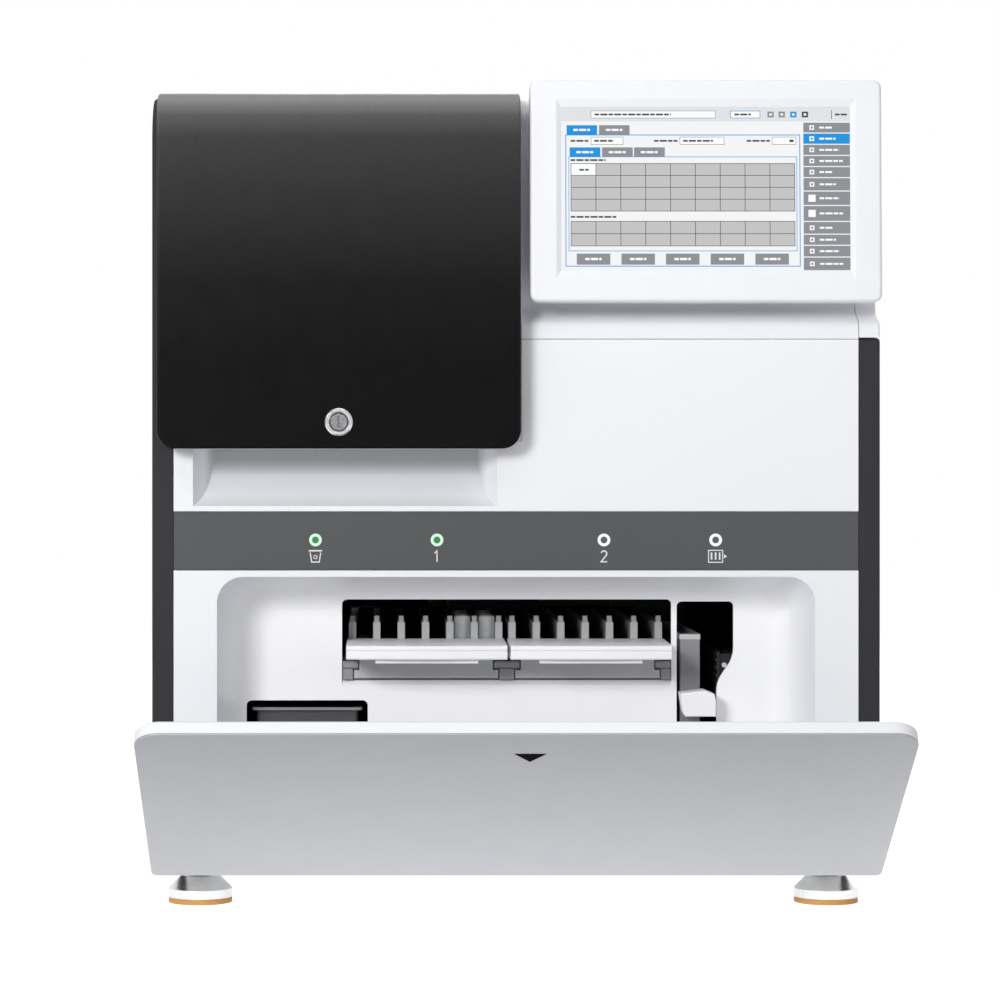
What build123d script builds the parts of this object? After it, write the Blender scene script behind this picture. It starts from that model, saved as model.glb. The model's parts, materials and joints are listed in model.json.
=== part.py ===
from build123d import *
import math
import os

# Benchtop chemiluminescence immunoassay analyzer. Millimetres, +Z up, the user stands on the -Y side.
# Every piece is drawn with the front plane of the fascia at Y 0, and is moved at the end so that the
# origin is the centre of the whole footprint, on the surface that the feet stand on.

# What the loading recess holds from left to right sets the width of the body
channels = 6
channel_pitch = 19.4
rib_width = 5.8
drawer_spacing = 4.8
drawer_pitch = channels * channel_pitch + rib_width + drawer_spacing
drawer_opening_half = drawer_pitch + 2.6
recess_left_margin = 95.4
port_from_drawers = 4.3
port_width = 44.6
recess_right_margin = 56.5
beside_drawers = recess_left_margin + port_from_drawers + port_width + recess_right_margin
recess_half = beside_drawers / 2 + drawer_opening_half
recess_side = 50.0
drawer_pair_x = -recess_half + recess_left_margin + drawer_opening_half

# Body and outer covers
body_width = 2 * (recess_half + recess_side)
body_depth = 600.0
body_bottom = 28.0
hood_top = 628.5
skin = 3.0
seam = 0.4
side_return = 16.2
seam_height = 439.8
rear_round = 12.0
edge_round = 2.0
flange_depth = 14.0
side_front_round = 36.0
hood_groove_drop = 55.5
half_width = body_width / 2
fascia_half = half_width - side_return - seam

# Shoulder above the fascia and the panel set back behind the display
shoulder_start = seam_height + 8.7
shoulder_end = shoulder_start + 21.5
set_back = 24.0
hood_round = 18.0

# Hinged front cover of the left bay
cover_low = 355.7
cover_top = hood_top + 0.5
cover_beside = 5.0
cover_left = -half_width + cover_beside
cover_right = 2.9
cover_middle = (cover_left + cover_right) / 2
cover_proud = 22.0
cover_rear = 305.0
cover_roof_round = 25.0
cover_corner = 14.0
cover_wall = 3.0
cover_gap = 0.8
neck_round = 18.0
cover_hinge_drop = 8.0
cover_hinge_behind = 6.0
neck_top = cover_top - cover_proud - cover_wall
cover_hinge_y = cover_rear + cover_hinge_behind
cover_hinge_z = cover_top - cover_hinge_drop
cover_swing = math.hypot(cover_hinge_behind, cover_hinge_drop)
gutter_rear = cover_hinge_y + cover_swing + 1.0
cover_hinge_inset = 52.0
cover_hinge_xs = (cover_left + cover_hinge_inset, cover_right - cover_hinge_inset)

# Hinge eyes, shared by the cover and the front door
pin_radius = 3.0
pin_clearance = 0.05
eye_radius = 5.5
cheek = 4.0
side_play = 0.3

# Bay behind the cover
bay_side = 13.0
bay_low = cover_low + 6.2
bay_sill = 22.0
bay_rear = cover_rear - 19.0
bay_floor = bay_low + 18.0
neck_play = 0.9

# Tip box and solution bottles in the bay
tip_box_side = 14.0
tip_box_width = 81.0
tip_box_front = 60.0
tip_box_length = 117.0
tip_box_base = 32.0
tip_box_lid = 18.0
tip_box_ribs = 8
tip_box_rib_pitch = 13.0
bottle_radius = 24.0
bottle_height = 92.0
bottle_neck = 13.0
bottle_cap_height = 16.0
bottle_xs = (cover_middle + 26.0, cover_middle + 84.0)
bottle_y = 90.0

# Key lock in the cover
lock_x = cover_middle
lock_z = cover_low + 20.3
lock_ring_radius = 10.7
lock_body_radius = 9.3
lock_plug_radius = 7.2
lock_plug_sunk = 1.0
lock_bevel = 1.0
lock_proud = 2.6
lock_body_depth = 11.0
lock_shaft_radius = 5.0
lock_notch_half = 8.0
key_slot = (1.8, 8.5, 6.0)
cam_length = 17.0
cam_width = 7.0
cam_thick = 2.5
cam_gap = 0.6

# Finger scoop under the cover
scoop_left = cover_left + 26.5
scoop_right = cover_right - 17.5
scoop_depth = 25.0
scoop_draft = 14.0
scoop_round = 4.0
scoop_top = cover_low - 0.5

# Loading recess in the lower fascia
recess_low = body_bottom + 20.0
recess_corner = 20.0
recess_draft_side = 16.0
recess_draft_top = 11.0
recess_depth = 60.0
recess_blend = 20.0

# Waste bin and its opening
bin_width = 86.9
bin_left = -recess_half + 24.5
bin_right = bin_left + bin_width
bin_low = 88.0
bin_height = 64.0
bin_top = bin_low + bin_height
bin_front = recess_depth + 1.0
bin_length = 235.0
bin_wall = 2.0
bin_rim = 3.4
bin_opening_gap = 4.2
bin_opening_top = bin_top + 5.7

# Base tray, deck and posts
sheet = 2.0
tray_flange = 24.0
deck_height = bin_top + 16.6
deck_behind_fascia = 6.0
deck_rear_gap = 34.0
post_leg = 24.0

# Rails of the reagent drawers, from the deck upwards
rail_low = deck_height + 5.6
rail_cap_low = rail_low + 8.4
rail_cap_high = rail_cap_low + 6.0
rail_stem_half = 5.9
rail_cap_half = 10.2
rail_play = 0.8
rail_nose = 2.0

# Reagent drawers
tray_low = rail_low + 1.0
tray_nose = 3.0
tray_floor = rail_cap_high + 1.0
tray_plate = 4.4
rib_height = 24.0
rib_tip = 5.0
channel_floor = tray_floor + tray_plate
rib_top = channel_floor + rib_height
handle_front = 5.0
handle_back = recess_depth + 25.6
handle_low = tray_floor + 3.2
handle_height = 10.8
handle_top = handle_low + handle_height
handle_rise = 1.4
handle_wall = 2.4
handle_gap = 2.5
handle_width = drawer_pitch - handle_gap
handle_bow = 3.0
handle_groove = (0.8, 0.5)
lip_width = 79.4
lip_length = 12.0
tray_length = 244.4
tray_front = handle_back + seam
tray_back = handle_back + tray_length
drawer_opening_low = rail_low - 0.5
drawer_opening_top = rib_top + 19.3
opening_round = 4.0
sill_bevel = 4.0
recess_top = drawer_opening_top + 19.7

# Indicator strip and its rings, each beside the middle of what it stands for
strip_low = recess_top + 5.4
strip_height = 44.7
strip_high = strip_low + strip_height
ring_places = (
    bin_left + bin_width / 2 + 7.75,
    drawer_pair_x - drawer_pitch / 2 + 7.7,
    drawer_pair_x + drawer_pitch / 2 + 9.1,
    drawer_pair_x + drawer_opening_half + port_from_drawers + port_width / 2 + 2.3,
)
ring_height = strip_low + strip_height / 2 + 0.75
ring_outer = 4.9
ring_inner = 2.6
ring_proud = 0.5
scoop_low = strip_high + 4.5

# Clear reagent cartridges in the last two channels of the left drawer
cartridge_play = 0.5
cartridge_length = 112.0
cartridge_top = rib_top + 4.6
cartridge_wells = 6
cartridge_behind = 2.0

# Sample rack and its port
rack_low = 104.0
rack_height = 105.6
rack_top = rack_low + rack_height
rack_width = 16.0
rack_length = 200.0
rack_cap_thick = 4.0
rack_overhang = 0.4
rack_front = recess_depth + 2.0
rack_front_block = 16.0
rack_rear_block = 8.0
rack_base = 8.0
rack_wall = 1.6
rack_lip = 10.0
rack_tubes = 8
rack_tube_half = 6.4
rack_pitch = (rack_length - rack_front_block - rack_rear_block) / rack_tubes
grip_low = 146.5
grip_high = 167.0
grip_length = 24.0
port_left = drawer_pair_x + drawer_opening_half + port_from_drawers
port_right = port_left + port_width
port_neck = port_left + 31.3
port_top = drawer_opening_top - 1.7
port_low = rack_low - 12.0
port_turn_high = rack_top - 9.6
port_turn_low = port_turn_high - 36.0
rack_left = port_left + 2.7
lane_wall = 2.0
lane_floor = 4.7
lane_rows = 13
lane_row_pitch = 6.0

# Front door, drawn closed and turned open at the end
door_low = body_bottom + 6.0
door_high = strip_low - 0.2
door_gap = 0.6
door_thick = 12.0
door_skin_thick = 1.6
door_skin_round = 1.0
door_top_round = 19.0
door_low_round = 5.0
door_inner_round = 3.0
door_pin_radius = 1.5
door_eye_radius = 3.4
door_hinge_y = -door_gap - door_inner_round
door_hinge_z = door_low + door_inner_round
door_open = 57.0
door_hinge_x = half_width - 55.0
door_rib_x = 140.0

# Display
display_width = 269.4
display_height = 170.5
display_thick = 22.0
display_gap = 7.3
display_x = cover_right + display_gap + display_width / 2
display_z = hood_top - 75.6
display_lean = 2.0
display_corner = 6.0
display_pivot_y = set_back - 8.4
display_pivot_z = display_z - 13.0
display_y = display_pivot_y - 6.6 - display_thick / 2
display_ear_x = 45.0
screen_width = 221.5
screen_height = 125.5
screen_rise = 1.6
screen_thick = 1.6
screen_play = 0.2
surround_side = 3.75
surround_height = 5.75
surround_depth = 2.4

# Levelling feet
foot_x = half_width - 34.0
foot_setback = 57.0
pad_radius = 25.0
pad_thick = 3.5
foot_disc = 8.5
foot_cone = 9.0
foot_neck_radius = 15.0
stud_radius = 5.0
nut_radius = 9.5
nut_thick = 5.0

# Pipettor gantry over the drawers
gantry_y = tray_back - 32.0
gantry_thick = 26.0
probe_tip = rib_top + 18.0
head_low = probe_tip + 26.0
gantry_low = head_low + 34.0
gantry_high = gantry_low + 32.0
head_high = gantry_high + 24.0
groove_inset = 9.0
carriage_width = 60.0
carriage_thick = 24.0
head_width = 42.0
head_thick = 20.0
probe_radius = 1.1
slide_play = 0.4
probe_x = drawer_pair_x - drawer_pitch / 2 - channel_pitch * (channels - 1) / 2
motor_side = 42.0
motor_length = 38.0
motor_inset = 60.0

# Heated block behind the drawers and the reader on it
block_gap = 6.0
block_depth = 104.0
block_height = 46.0
block_floor = 16.0
reader_width = 80.0
reader_base = 12.0
turret_radius = 30.0
turret_height = 48.0
turret_from_block = 69.0
tube_radius = 18.0
tube_reach = 110.0

# Fan in the rear panel
fan_x = -half_width + 130.0
fan_z = 250.0
fan_side = 80.0
fan_depth = 25.0
fan_hub_radius = 13.0
fan_blades = 7
spindle_radius = 2.0
grille_rings = 3
grille_pitch = 9.0
grille_slot = 6.0

# Power inlet, switch and data connectors in one row of the rear panel
inlet_x = half_width - 80.0
inlet_z = 70.0
inlet_half = 13.8
inlet_half_height = 10.8
inlet_depth = 24.0
switch_x = inlet_x - 50.0
switch_half = 6.8
switch_half_height = 10.3
rocker_play = 0.4
trunnion_radius = 1.0
trunnion_depth = 7.0
port_row_x = inlet_x - 140.0
jack_half = 6.0
jack_half_height = 5.0
serial_half = 5.6
serial_half_height = 2.6
jack_offset = -24.0
serial_offsets = (-6.0, 10.0, 26.0)
connector_wall = 1.2
connector_depth = 12.0
connector_sunk = 0.5
cutout_play = 0.2

# Power supply and control board
supply_side = 50.0
supply_width = 140.0
supply_rear = 40.0
supply_length = 160.0
supply_height = 52.0
supply_slots = 7
supply_slot_pitch = 18.0
board_left = -60.0
board_width = 240.0
board_height = 150.0
board_thick = 1.6
board_from_deck_rear = 12.0


def box(x, y, z):
    """Block between the low and high value on each axis."""
    low, high = zip(x, y, z)
    size = [b - a for a, b in zip(low, high)]
    centre = [(a + b) / 2 for a, b in zip(low, high)]
    return Pos(*centre) * Box(*size)


def across(profile, x):
    """Side-view profile (Y, Z) carried along X."""
    return extrude(Plane.YZ.offset(x[0]) * profile, amount=x[1] - x[0])


def through(outline, y):
    """Front-view outline (X, Z) carried along Y."""
    return extrude(Plane.XZ.offset(-y[1]) * outline, amount=y[1] - y[0])


def upward(outline, z):
    """Plan outline (X, Y) carried along Z."""
    return extrude(Plane.XY.offset(z[0]) * outline, amount=z[1] - z[0])


def rod_x(x, y, z, radius):
    """Cylinder along X between two values."""
    return Pos((x[0] + x[1]) / 2, y, z) * Rot(0, 90, 0) * Cylinder(radius, x[1] - x[0])


def rod_y(x, y, z, radius):
    """Cylinder along Y between two values."""
    return Pos(x, (y[0] + y[1]) / 2, z) * Rot(90, 0, 0) * Cylinder(radius, y[1] - y[0])


def rod_z(x, y, z, radius):
    """Cylinder along Z between two values."""
    return Pos(x, y, (z[0] + z[1]) / 2) * Cylinder(radius, z[1] - z[0])


def outline(u, v, low_round=0.0, high_round=0.0):
    """Rectangle with its own rounding on the two low and the two high corners."""
    face = Pos((u[0] + u[1]) / 2, (v[0] + v[1]) / 2) * Rectangle(u[1] - u[0], v[1] - v[0])
    if low_round:
        face = fillet(face.vertices().sort_by(Axis.Y)[:2], low_round)
    if high_round:
        face = fillet(face.vertices().sort_by(Axis.Y)[-2:], high_round)
    return face


def polygon(points):
    return make_face(Polyline(*points, close=True))


def group(pieces):
    """Separate solids that share one node."""
    return Compound([solid for piece in pieces for solid in piece.solids()])


def edges_at(part, axis, value):
    """Edges that lie wholly in the plane where the axis has this value."""
    return part.edges().filter_by_position(axis, value - 0.01, value + 0.01)


def side_outline(top, front_round, inset=0.0):
    """Side view of a body panel, with a rounded top front and top rear corner."""
    face = outline((inset, body_depth - inset), (body_bottom + inset, top - inset))
    front_top = face.vertices().sort_by_distance((0, top))[0]
    face = fillet(front_top, front_round - inset)
    rear_top = face.vertices().sort_by_distance((body_depth, top))[0]
    return fillet(rear_top, rear_round - inset)


def vent_slots(x):
    """Two columns of cooling slots low at the rear of a side panel."""
    slot_length = 60.0
    slot_height = 4.0
    slot_pitch = 10.0
    slots = []
    for column_y in (body_depth - 190.0, body_depth - 110.0):
        for row in range(9):
            z = 90.0 + row * slot_pitch
            face = Pos(column_y, z) * SlotOverall(slot_length, slot_height)
            slots.append(across(face, x))
    return slots


def side_panel(side, top, front_round):
    """Moulded side panel: an outer wall with a return all round its edge."""
    outer = half_width * side
    wall_inner = (half_width - skin) * side
    inner = (half_width - side_return) * side
    panel = across(side_outline(top, front_round), sorted((outer, inner)))
    panel = chamfer(panel.faces().sort_by(Axis.X)[0 if side < 0 else -1].edges(), edge_round * 0.6)
    panel -= across(side_outline(top, front_round, skin), sorted((wall_inner, inner - side)))
    for slot in vent_slots(sorted((outer + side, wall_inner - side))):
        panel -= slot
    return panel


def left_side_panel():
    panel = side_panel(-1, hood_top, side_front_round)
    beside_cover = box(
        (cover_left - 1.4, -half_width + side_return + 1),
        (-1, gutter_rear),
        (neck_top - neck_round - 2, hood_top + 1),
    )
    return panel - beside_cover


def right_side_panel():
    return side_panel(1, seam_height + 1.0, edge_round * 2)


def hood_outline(inset=0.0, low=seam_height + seam):
    """Side view of the top cover: a vertical lip, an S-shaped shoulder and the set-back panel."""
    lip = Line((inset, low), (inset, shoulder_start))
    shoulder_mid = (shoulder_start + shoulder_end) / 2
    shoulder = Bezier(
        (inset, shoulder_start),
        (inset, shoulder_mid),
        (set_back + inset, shoulder_mid - 3),
        (set_back + inset, shoulder_end),
    )
    rest = Polyline(
        (set_back + inset, shoulder_end),
        (set_back + inset, hood_top - inset),
        (body_depth - inset, hood_top - inset),
        (body_depth - inset, low),
        (inset, low),
    )
    face = make_face(lip + shoulder + rest)
    front_top = face.vertices().sort_by_distance((set_back, hood_top))[0]
    face = fillet(front_top, hood_round - inset)
    rear_top = face.vertices().sort_by_distance((body_depth, hood_top))[0]
    return fillet(rear_top, rear_round - inset)


def top_hood():
    """White cover behind the display, open below, with its own left and right walls."""
    left = cover_right + 1.3
    hood = across(hood_outline(), (left, fascia_half))
    inner = hood_outline(skin, seam_height + seam - 1)
    hood -= across(inner, (left + skin, fascia_half - skin))
    groove_z = hood_top - hood_groove_drop
    hood -= box((left - 1, fascia_half + 1), (set_back - 1, set_back + 2 * seam), (groove_z - seam, groove_z))
    return hood


def right_side_cap():
    """White end cap above the right side panel, hollow towards the hood."""
    low = seam_height + 1.0 + seam
    cap = across(hood_outline(0.0, low), (fascia_half + seam, half_width))
    cap = fillet(cap.faces().sort_by(Axis.X)[-1].edges(), edge_round)
    cap -= across(hood_outline(skin, low + skin), (fascia_half + seam - 1, half_width - skin))
    return cap


def left_top_cover():
    """White cover over the left rear quarter, from the hinge of the front cover to the rear."""
    right = cover_right + neck_play
    left = -fascia_half
    front = gutter_rear
    profile = outline((front, body_depth), (seam_height + seam, hood_top), 0, rear_round)
    cover = across(profile, (left, right))
    inner = outline((front + skin, body_depth - skin), (seam_height, hood_top - skin), 0, rear_round - skin)
    cover -= across(inner, (left + skin, right - skin))
    below_neck = box((left - 1, right + 1), (front - 1, bay_rear + 60), (seam_height - 1, neck_top - 30))
    return cover - below_neck


def scoop_tool(grow=0.0):
    """Wedge that is deep under the cover and ramps out to the face, with sides that slope inwards."""
    low = scoop_low - grow
    high = scoop_top + grow
    deep = scoop_depth + grow
    profile = make_face(
        Polyline((-1, low), (0, low))
        + Bezier((0, low), (deep * 0.5, low + 4), (deep, low + 18), (deep, scoop_top - 8))
        + Polyline((deep, scoop_top - 8), (deep, high), (-1, high), (-1, low))
    )
    left = scoop_left - grow
    right = scoop_right + grow
    plan = polygon(
        (
            (left, -1),
            (right, -1),
            (right, 0),
            (right - scoop_draft, deep),
            (left + scoop_draft, deep),
            (left, 0),
        )
    )
    plan = fillet(plan.vertices().sort_by(Axis.Y)[-2:], scoop_round + grow)
    return across(profile, (left, right)) & upward(plan, (low - 1, high + 1))


def upper_fascia():
    """White front panel with the finger scoop, notched for the frame of the left bay."""
    face = outline((-fascia_half, fascia_half), (strip_high + seam, seam_height))
    plate = through(face, (0, skin))
    flange_y = (skin, flange_depth)
    plate += box((-fascia_half, fascia_half), flange_y, (seam_height - skin, seam_height))
    plate += box((-fascia_half, fascia_half), flange_y, (strip_high + seam, strip_high + seam + skin))
    pocket = scoop_tool(skin) & box((-half_width, half_width), (0, body_depth), (0, hood_top))
    plate += pocket
    plate -= scoop_tool()
    notch = box(
        (-half_width, cover_right + neck_play + seam),
        (-1, body_depth),
        (bay_low - seam, seam_height + 1),
    )
    return plate - notch


def neck_outline(inset=0.0, low=bay_low):
    """Side view of the frame that the closed cover rests on."""
    face = outline((inset, gutter_rear - seam), (low, neck_top - inset))
    corner = face.vertices().sort_by_distance((0, neck_top))[0]
    return fillet(corner, neck_round - inset)


def bay_frame():
    """Frame round the front and top opening of the left bay."""
    left = cover_left - 1.0
    right = cover_right + neck_play
    frame = across(neck_outline(), (left, right))
    frame -= across(neck_outline(skin, bay_low - 1), (left + skin, right - skin))
    below_round = neck_top - neck_round - 2
    frame -= box((left - 1, -fascia_half), (-1, body_depth), (bay_low - 1, below_round + seam))
    opening_x = (-fascia_half + bay_side, right - bay_side)
    front_opening = outline(opening_x, (bay_low + bay_sill, neck_top - skin - neck_round - 4), 8, 8)
    frame -= through(front_opening, (-1, skin + 1))
    top_opening = outline(opening_x, (neck_round + skin + 4, bay_rear - 6), 8, 8)
    frame -= upward(top_opening, (neck_top - skin - 1, neck_top + 1))
    # The notch in the sill lets the lock's shaft through, and its cam turns behind the wall beside it.
    notch_low = lock_z - lock_shaft_radius - 1.2
    notch_x = (lock_x - lock_notch_half, lock_x + lock_notch_half)
    return frame - box(notch_x, (-1, skin + 1), (notch_low, bay_low + bay_sill + 1))


def cover_blob(inset=0.0):
    """Solid form of the cover: an extruded side profile with rounded lower corners."""
    profile = outline((-cover_proud + inset, cover_rear - inset), (cover_low + inset, cover_top - inset))
    roof = profile.vertices().sort_by_distance((-cover_proud, cover_top))[0]
    profile = fillet(roof, cover_roof_round - inset)
    form = across(profile, (cover_left + inset, cover_right - inset))
    low_sides = edges_at(form, Axis.Z, cover_low + inset).filter_by(Axis.Y)
    return fillet(low_sides, cover_corner - inset)


def cover_rim_edges(form):
    """Edges round the front face of the cover and along both sides of its roof."""
    roof_start = cover_top - cover_roof_round
    front_loop = [e for e in edges_at(form, Axis.Y, -cover_proud) if e.center().Z < roof_start - 1]
    beside = [e for e in form.edges() if abs(e.center().X - cover_middle) > 1]
    sides = [e for e in beside if e.center().Z > roof_start and e.center().Y < cover_rear - 1]
    return front_loop + sides


def cover_shell():
    """Gloss black cover, a shell whose rim lies just off the frame of the bay."""
    form = cover_blob()
    form = fillet(cover_rim_edges(form), edge_round)
    form -= cover_blob(cover_wall)
    inside = outline((-cover_gap, cover_rear + 1), (cover_low - 1, neck_top + cover_gap))
    corner = inside.vertices().sort_by_distance((0, neck_top))[0]
    inside = fillet(corner, neck_round + cover_gap)
    form -= across(inside, (cover_left - 1, cover_right + 1))
    form -= rod_y(lock_x, (-cover_proud - 1, -cover_proud + cover_wall + 1), lock_z, lock_body_radius + 0.2)
    return form


def lock_ring():
    """Chromed bezel and barrel of the lock, turned."""
    face_y = -cover_proud
    ring = rod_y(lock_x, (face_y - lock_proud, face_y), lock_z, lock_ring_radius)
    ring += rod_y(lock_x, (face_y, face_y + lock_body_depth), lock_z, lock_body_radius)
    ring += rod_y(lock_x, (face_y + cover_wall, face_y + cover_wall + 3), lock_z, lock_ring_radius + 2)
    bore_y = (face_y - lock_proud - 1, face_y + lock_body_depth + 1)
    ring -= rod_y(lock_x, bore_y, lock_z, lock_plug_radius + pin_clearance)
    return chamfer(edges_at(ring, Axis.Y, face_y - lock_proud), lock_bevel)


def lock_cylinder():
    """Plug with its key slot, and the cam screwed on behind it."""
    face_y = -cover_proud
    plug_back = face_y + lock_body_depth
    plug_front = face_y - lock_proud + lock_plug_sunk
    plug = rod_y(lock_x, (plug_front, plug_back), lock_z, lock_plug_radius)
    plug = chamfer(edges_at(plug, Axis.Y, plug_front), lock_bevel)
    plug += rod_y(lock_x, (plug_back, skin + cam_gap), lock_z, lock_shaft_radius)
    width, height, depth = key_slot
    start = face_y - lock_proud
    plug -= box(
        (lock_x - width / 2, lock_x + width / 2),
        (start, start + depth),
        (lock_z - height / 2, lock_z + height / 2),
    )
    cam = box(
        (lock_x - cam_width / 2, lock_x + cam_width / 2),
        (skin + cam_gap, skin + cam_gap + cam_thick),
        (lock_z - 4, lock_z + cam_length),
    )
    cam = fillet(cam.edges().filter_by(Axis.Y), 2.5)
    return group([plug, cam])


def cover_hinge_arms():
    """Two arms from the rear wall of the cover, each ending in an eye round its pin."""
    arms = []
    for x in cover_hinge_xs:
        span = (x - cheek, x + cheek)
        arm = rod_x(span, cover_hinge_y, cover_hinge_z, eye_radius)
        arm_z = (cover_hinge_z - eye_radius, cover_hinge_z + eye_radius)
        arm += box(span, (cover_rear, cover_hinge_y), arm_z)
        arm -= rod_x((x - 20, x + 20), cover_hinge_y, cover_hinge_z, pin_radius + pin_clearance)
        arm -= box((x - 20, x + 20), (0, cover_rear), (0, cover_top))
        arms.append(arm)
    return group(arms)


def cover_hinge_brackets():
    """Clevis and pin under each arm, standing on the rear bar of the bay frame."""
    pieces = []
    for x in cover_hinge_xs:
        bracket = Part()
        for side in (-1, 1):
            inner = x + side * (cheek + side_play)
            outer = inner + side * cheek
            ear = rod_x(sorted((inner, outer)), cover_hinge_y, cover_hinge_z, eye_radius)
            ear += box(
                sorted((inner, outer)),
                (cover_hinge_y - eye_radius + 1, cover_hinge_y + eye_radius),
                (neck_top, cover_hinge_z),
            )
            bracket += ear
        reach = 2 * cheek + side_play
        foot_y = (cover_rear + cover_gap, cover_hinge_y + eye_radius)
        bracket += box((x - reach, x + reach), foot_y, (neck_top, neck_top + 1.5))
        hole = rod_x((x - 30, x + 30), cover_hinge_y, cover_hinge_z, pin_radius)
        pieces.append(bracket - hole)
        pieces.append(rod_x((x - reach - 1, x + reach + 1), cover_hinge_y, cover_hinge_z, pin_radius))
    return group(pieces)


def indicator_strip():
    """Grey strip with a seat for each ring."""
    face = outline((-fascia_half, fascia_half), (strip_low, strip_high))
    strip = through(face, (0, skin))
    strip += box((-fascia_half, fascia_half), (skin, flange_depth), (strip_low, strip_low + skin))
    strip += box((-fascia_half, fascia_half), (skin, flange_depth), (strip_high - skin, strip_high))
    for x in ring_places:
        strip -= rod_y(x, (-1, skin + 1), ring_height, ring_outer)
    return strip


def indicator_rings():
    rings = []
    for x in ring_places:
        ring = rod_y(x, (-ring_proud, skin), ring_height, ring_outer)
        rings.append(ring - rod_y(x, (-1, skin + 1), ring_height, ring_inner))
    return group(rings)


def indicator_lenses():
    lenses = []
    for x in ring_places:
        lens = rod_y(x, (-ring_proud + 0.2, skin + 2), ring_height, ring_inner)
        lenses.append(lens)
    return group(lenses)


def recess_tool(grow=0.0):
    """Drafted loading recess with a large blend where its walls meet the back wall."""
    front = outline(
        (-recess_half - grow, recess_half + grow),
        (recess_low - grow, recess_top + grow),
        recess_corner + grow,
        recess_corner + grow,
    )
    back_half = recess_half - recess_draft_side
    back = outline(
        (-back_half - grow, back_half + grow),
        (recess_low + recess_draft_top - grow, recess_top - recess_draft_top + grow),
        recess_corner + 4 + grow,
        recess_corner + 4 + grow,
    )
    tool = loft([Plane.XZ * front, Plane.XZ.offset(-recess_depth - grow) * back])
    return fillet(edges_at(tool, Axis.Y, recess_depth + grow), recess_blend + grow)


def port_outline():
    """Rack port: a tall slot whose right side narrows through an S-curve."""
    turn_mid = (port_turn_high + port_turn_low) / 2
    edges = Polyline(
        (port_neck, port_turn_low),
        (port_neck, port_low),
        (port_left, port_low),
        (port_left, port_top),
        (port_right, port_top),
        (port_right, port_turn_high),
    )
    edges += Bezier(
        (port_right, port_turn_high),
        (port_right, turn_mid),
        (port_neck, turn_mid),
        (port_neck, port_turn_low),
    )
    face = make_face(edges)
    corners = [v for v in face.vertices() if v.Y > port_top - 1]
    return fillet(corners, opening_round)


def bin_outline():
    return outline(
        (bin_left - bin_opening_gap, bin_right + bin_opening_gap),
        (bin_low - bin_opening_gap, bin_opening_top),
        opening_round,
        opening_round,
    )


def drawer_opening():
    low_x = drawer_pair_x - drawer_opening_half
    high_x = drawer_pair_x + drawer_opening_half
    return outline((low_x, high_x), (drawer_opening_low, drawer_opening_top), 1.0, opening_round)


def lower_fascia():
    """White lower front moulding with its recess, drawer opening, rack port and bin opening."""
    face = outline((-fascia_half, fascia_half), (body_bottom + 1, strip_low - seam))
    shell = through(face, (0, skin))
    shell += recess_tool(skin)
    shell -= recess_tool()
    wall = (recess_depth - recess_blend, recess_depth + skin + 1)
    for hole in (drawer_opening(), port_outline(), bin_outline()):
        shell -= through(hole, wall)
    for side in (-1, 1):
        x = side * door_hinge_x
        reach = 2 * cheek + side_play + 2
        shell -= box((x - reach, x + reach), (-1, skin + 1), (0, door_hinge_z + eye_radius + 2))
    # The lower edge of the drawer opening slopes out towards the user.
    sill = polygon(
        (
            (recess_depth - 1, drawer_opening_low - sill_bevel),
            (recess_depth, drawer_opening_low - sill_bevel),
            (recess_depth + skin - seam, drawer_opening_low),
            (recess_depth + skin - seam, drawer_opening_low + 1),
            (recess_depth - 1, drawer_opening_low + 1),
        )
    )
    sill_x = (drawer_pair_x - drawer_opening_half, drawer_pair_x + drawer_opening_half)
    return shell - across(sill, sill_x)


def reagent_rails():
    """Grey guide for both drawers: side rails, a T-rail between them and the plate below."""
    edge = drawer_opening_half - 0.6
    low_x = drawer_pair_x - edge
    high_x = drawer_pair_x + edge
    front = recess_depth + skin + seam
    nose = recess_depth - rail_nose
    back = tray_back + 4.0
    guide = box((low_x, high_x), (front, back), (deck_height, rail_low))
    for place in (-1, 0, 1):
        x = drawer_pair_x + place * drawer_pitch
        stem = (max(x - rail_stem_half, low_x), min(x + rail_stem_half, high_x))
        head = (max(x - rail_cap_half, low_x), min(x + rail_cap_half, high_x))
        guide += box(stem, (nose, back), (rail_low, rail_cap_low))
        cap = box(head, (nose, back), (rail_cap_low, rail_cap_high))
        guide += chamfer(cap.edges().filter_by(Axis.X).sort_by(Axis.Y)[:2], 1.2)
    return guide


def drawer_x(index):
    return drawer_pair_x + (index - 0.5) * drawer_pitch


def rib_xs(centre):
    return [centre + (i - channels / 2) * channel_pitch for i in range(channels + 1)]


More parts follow.
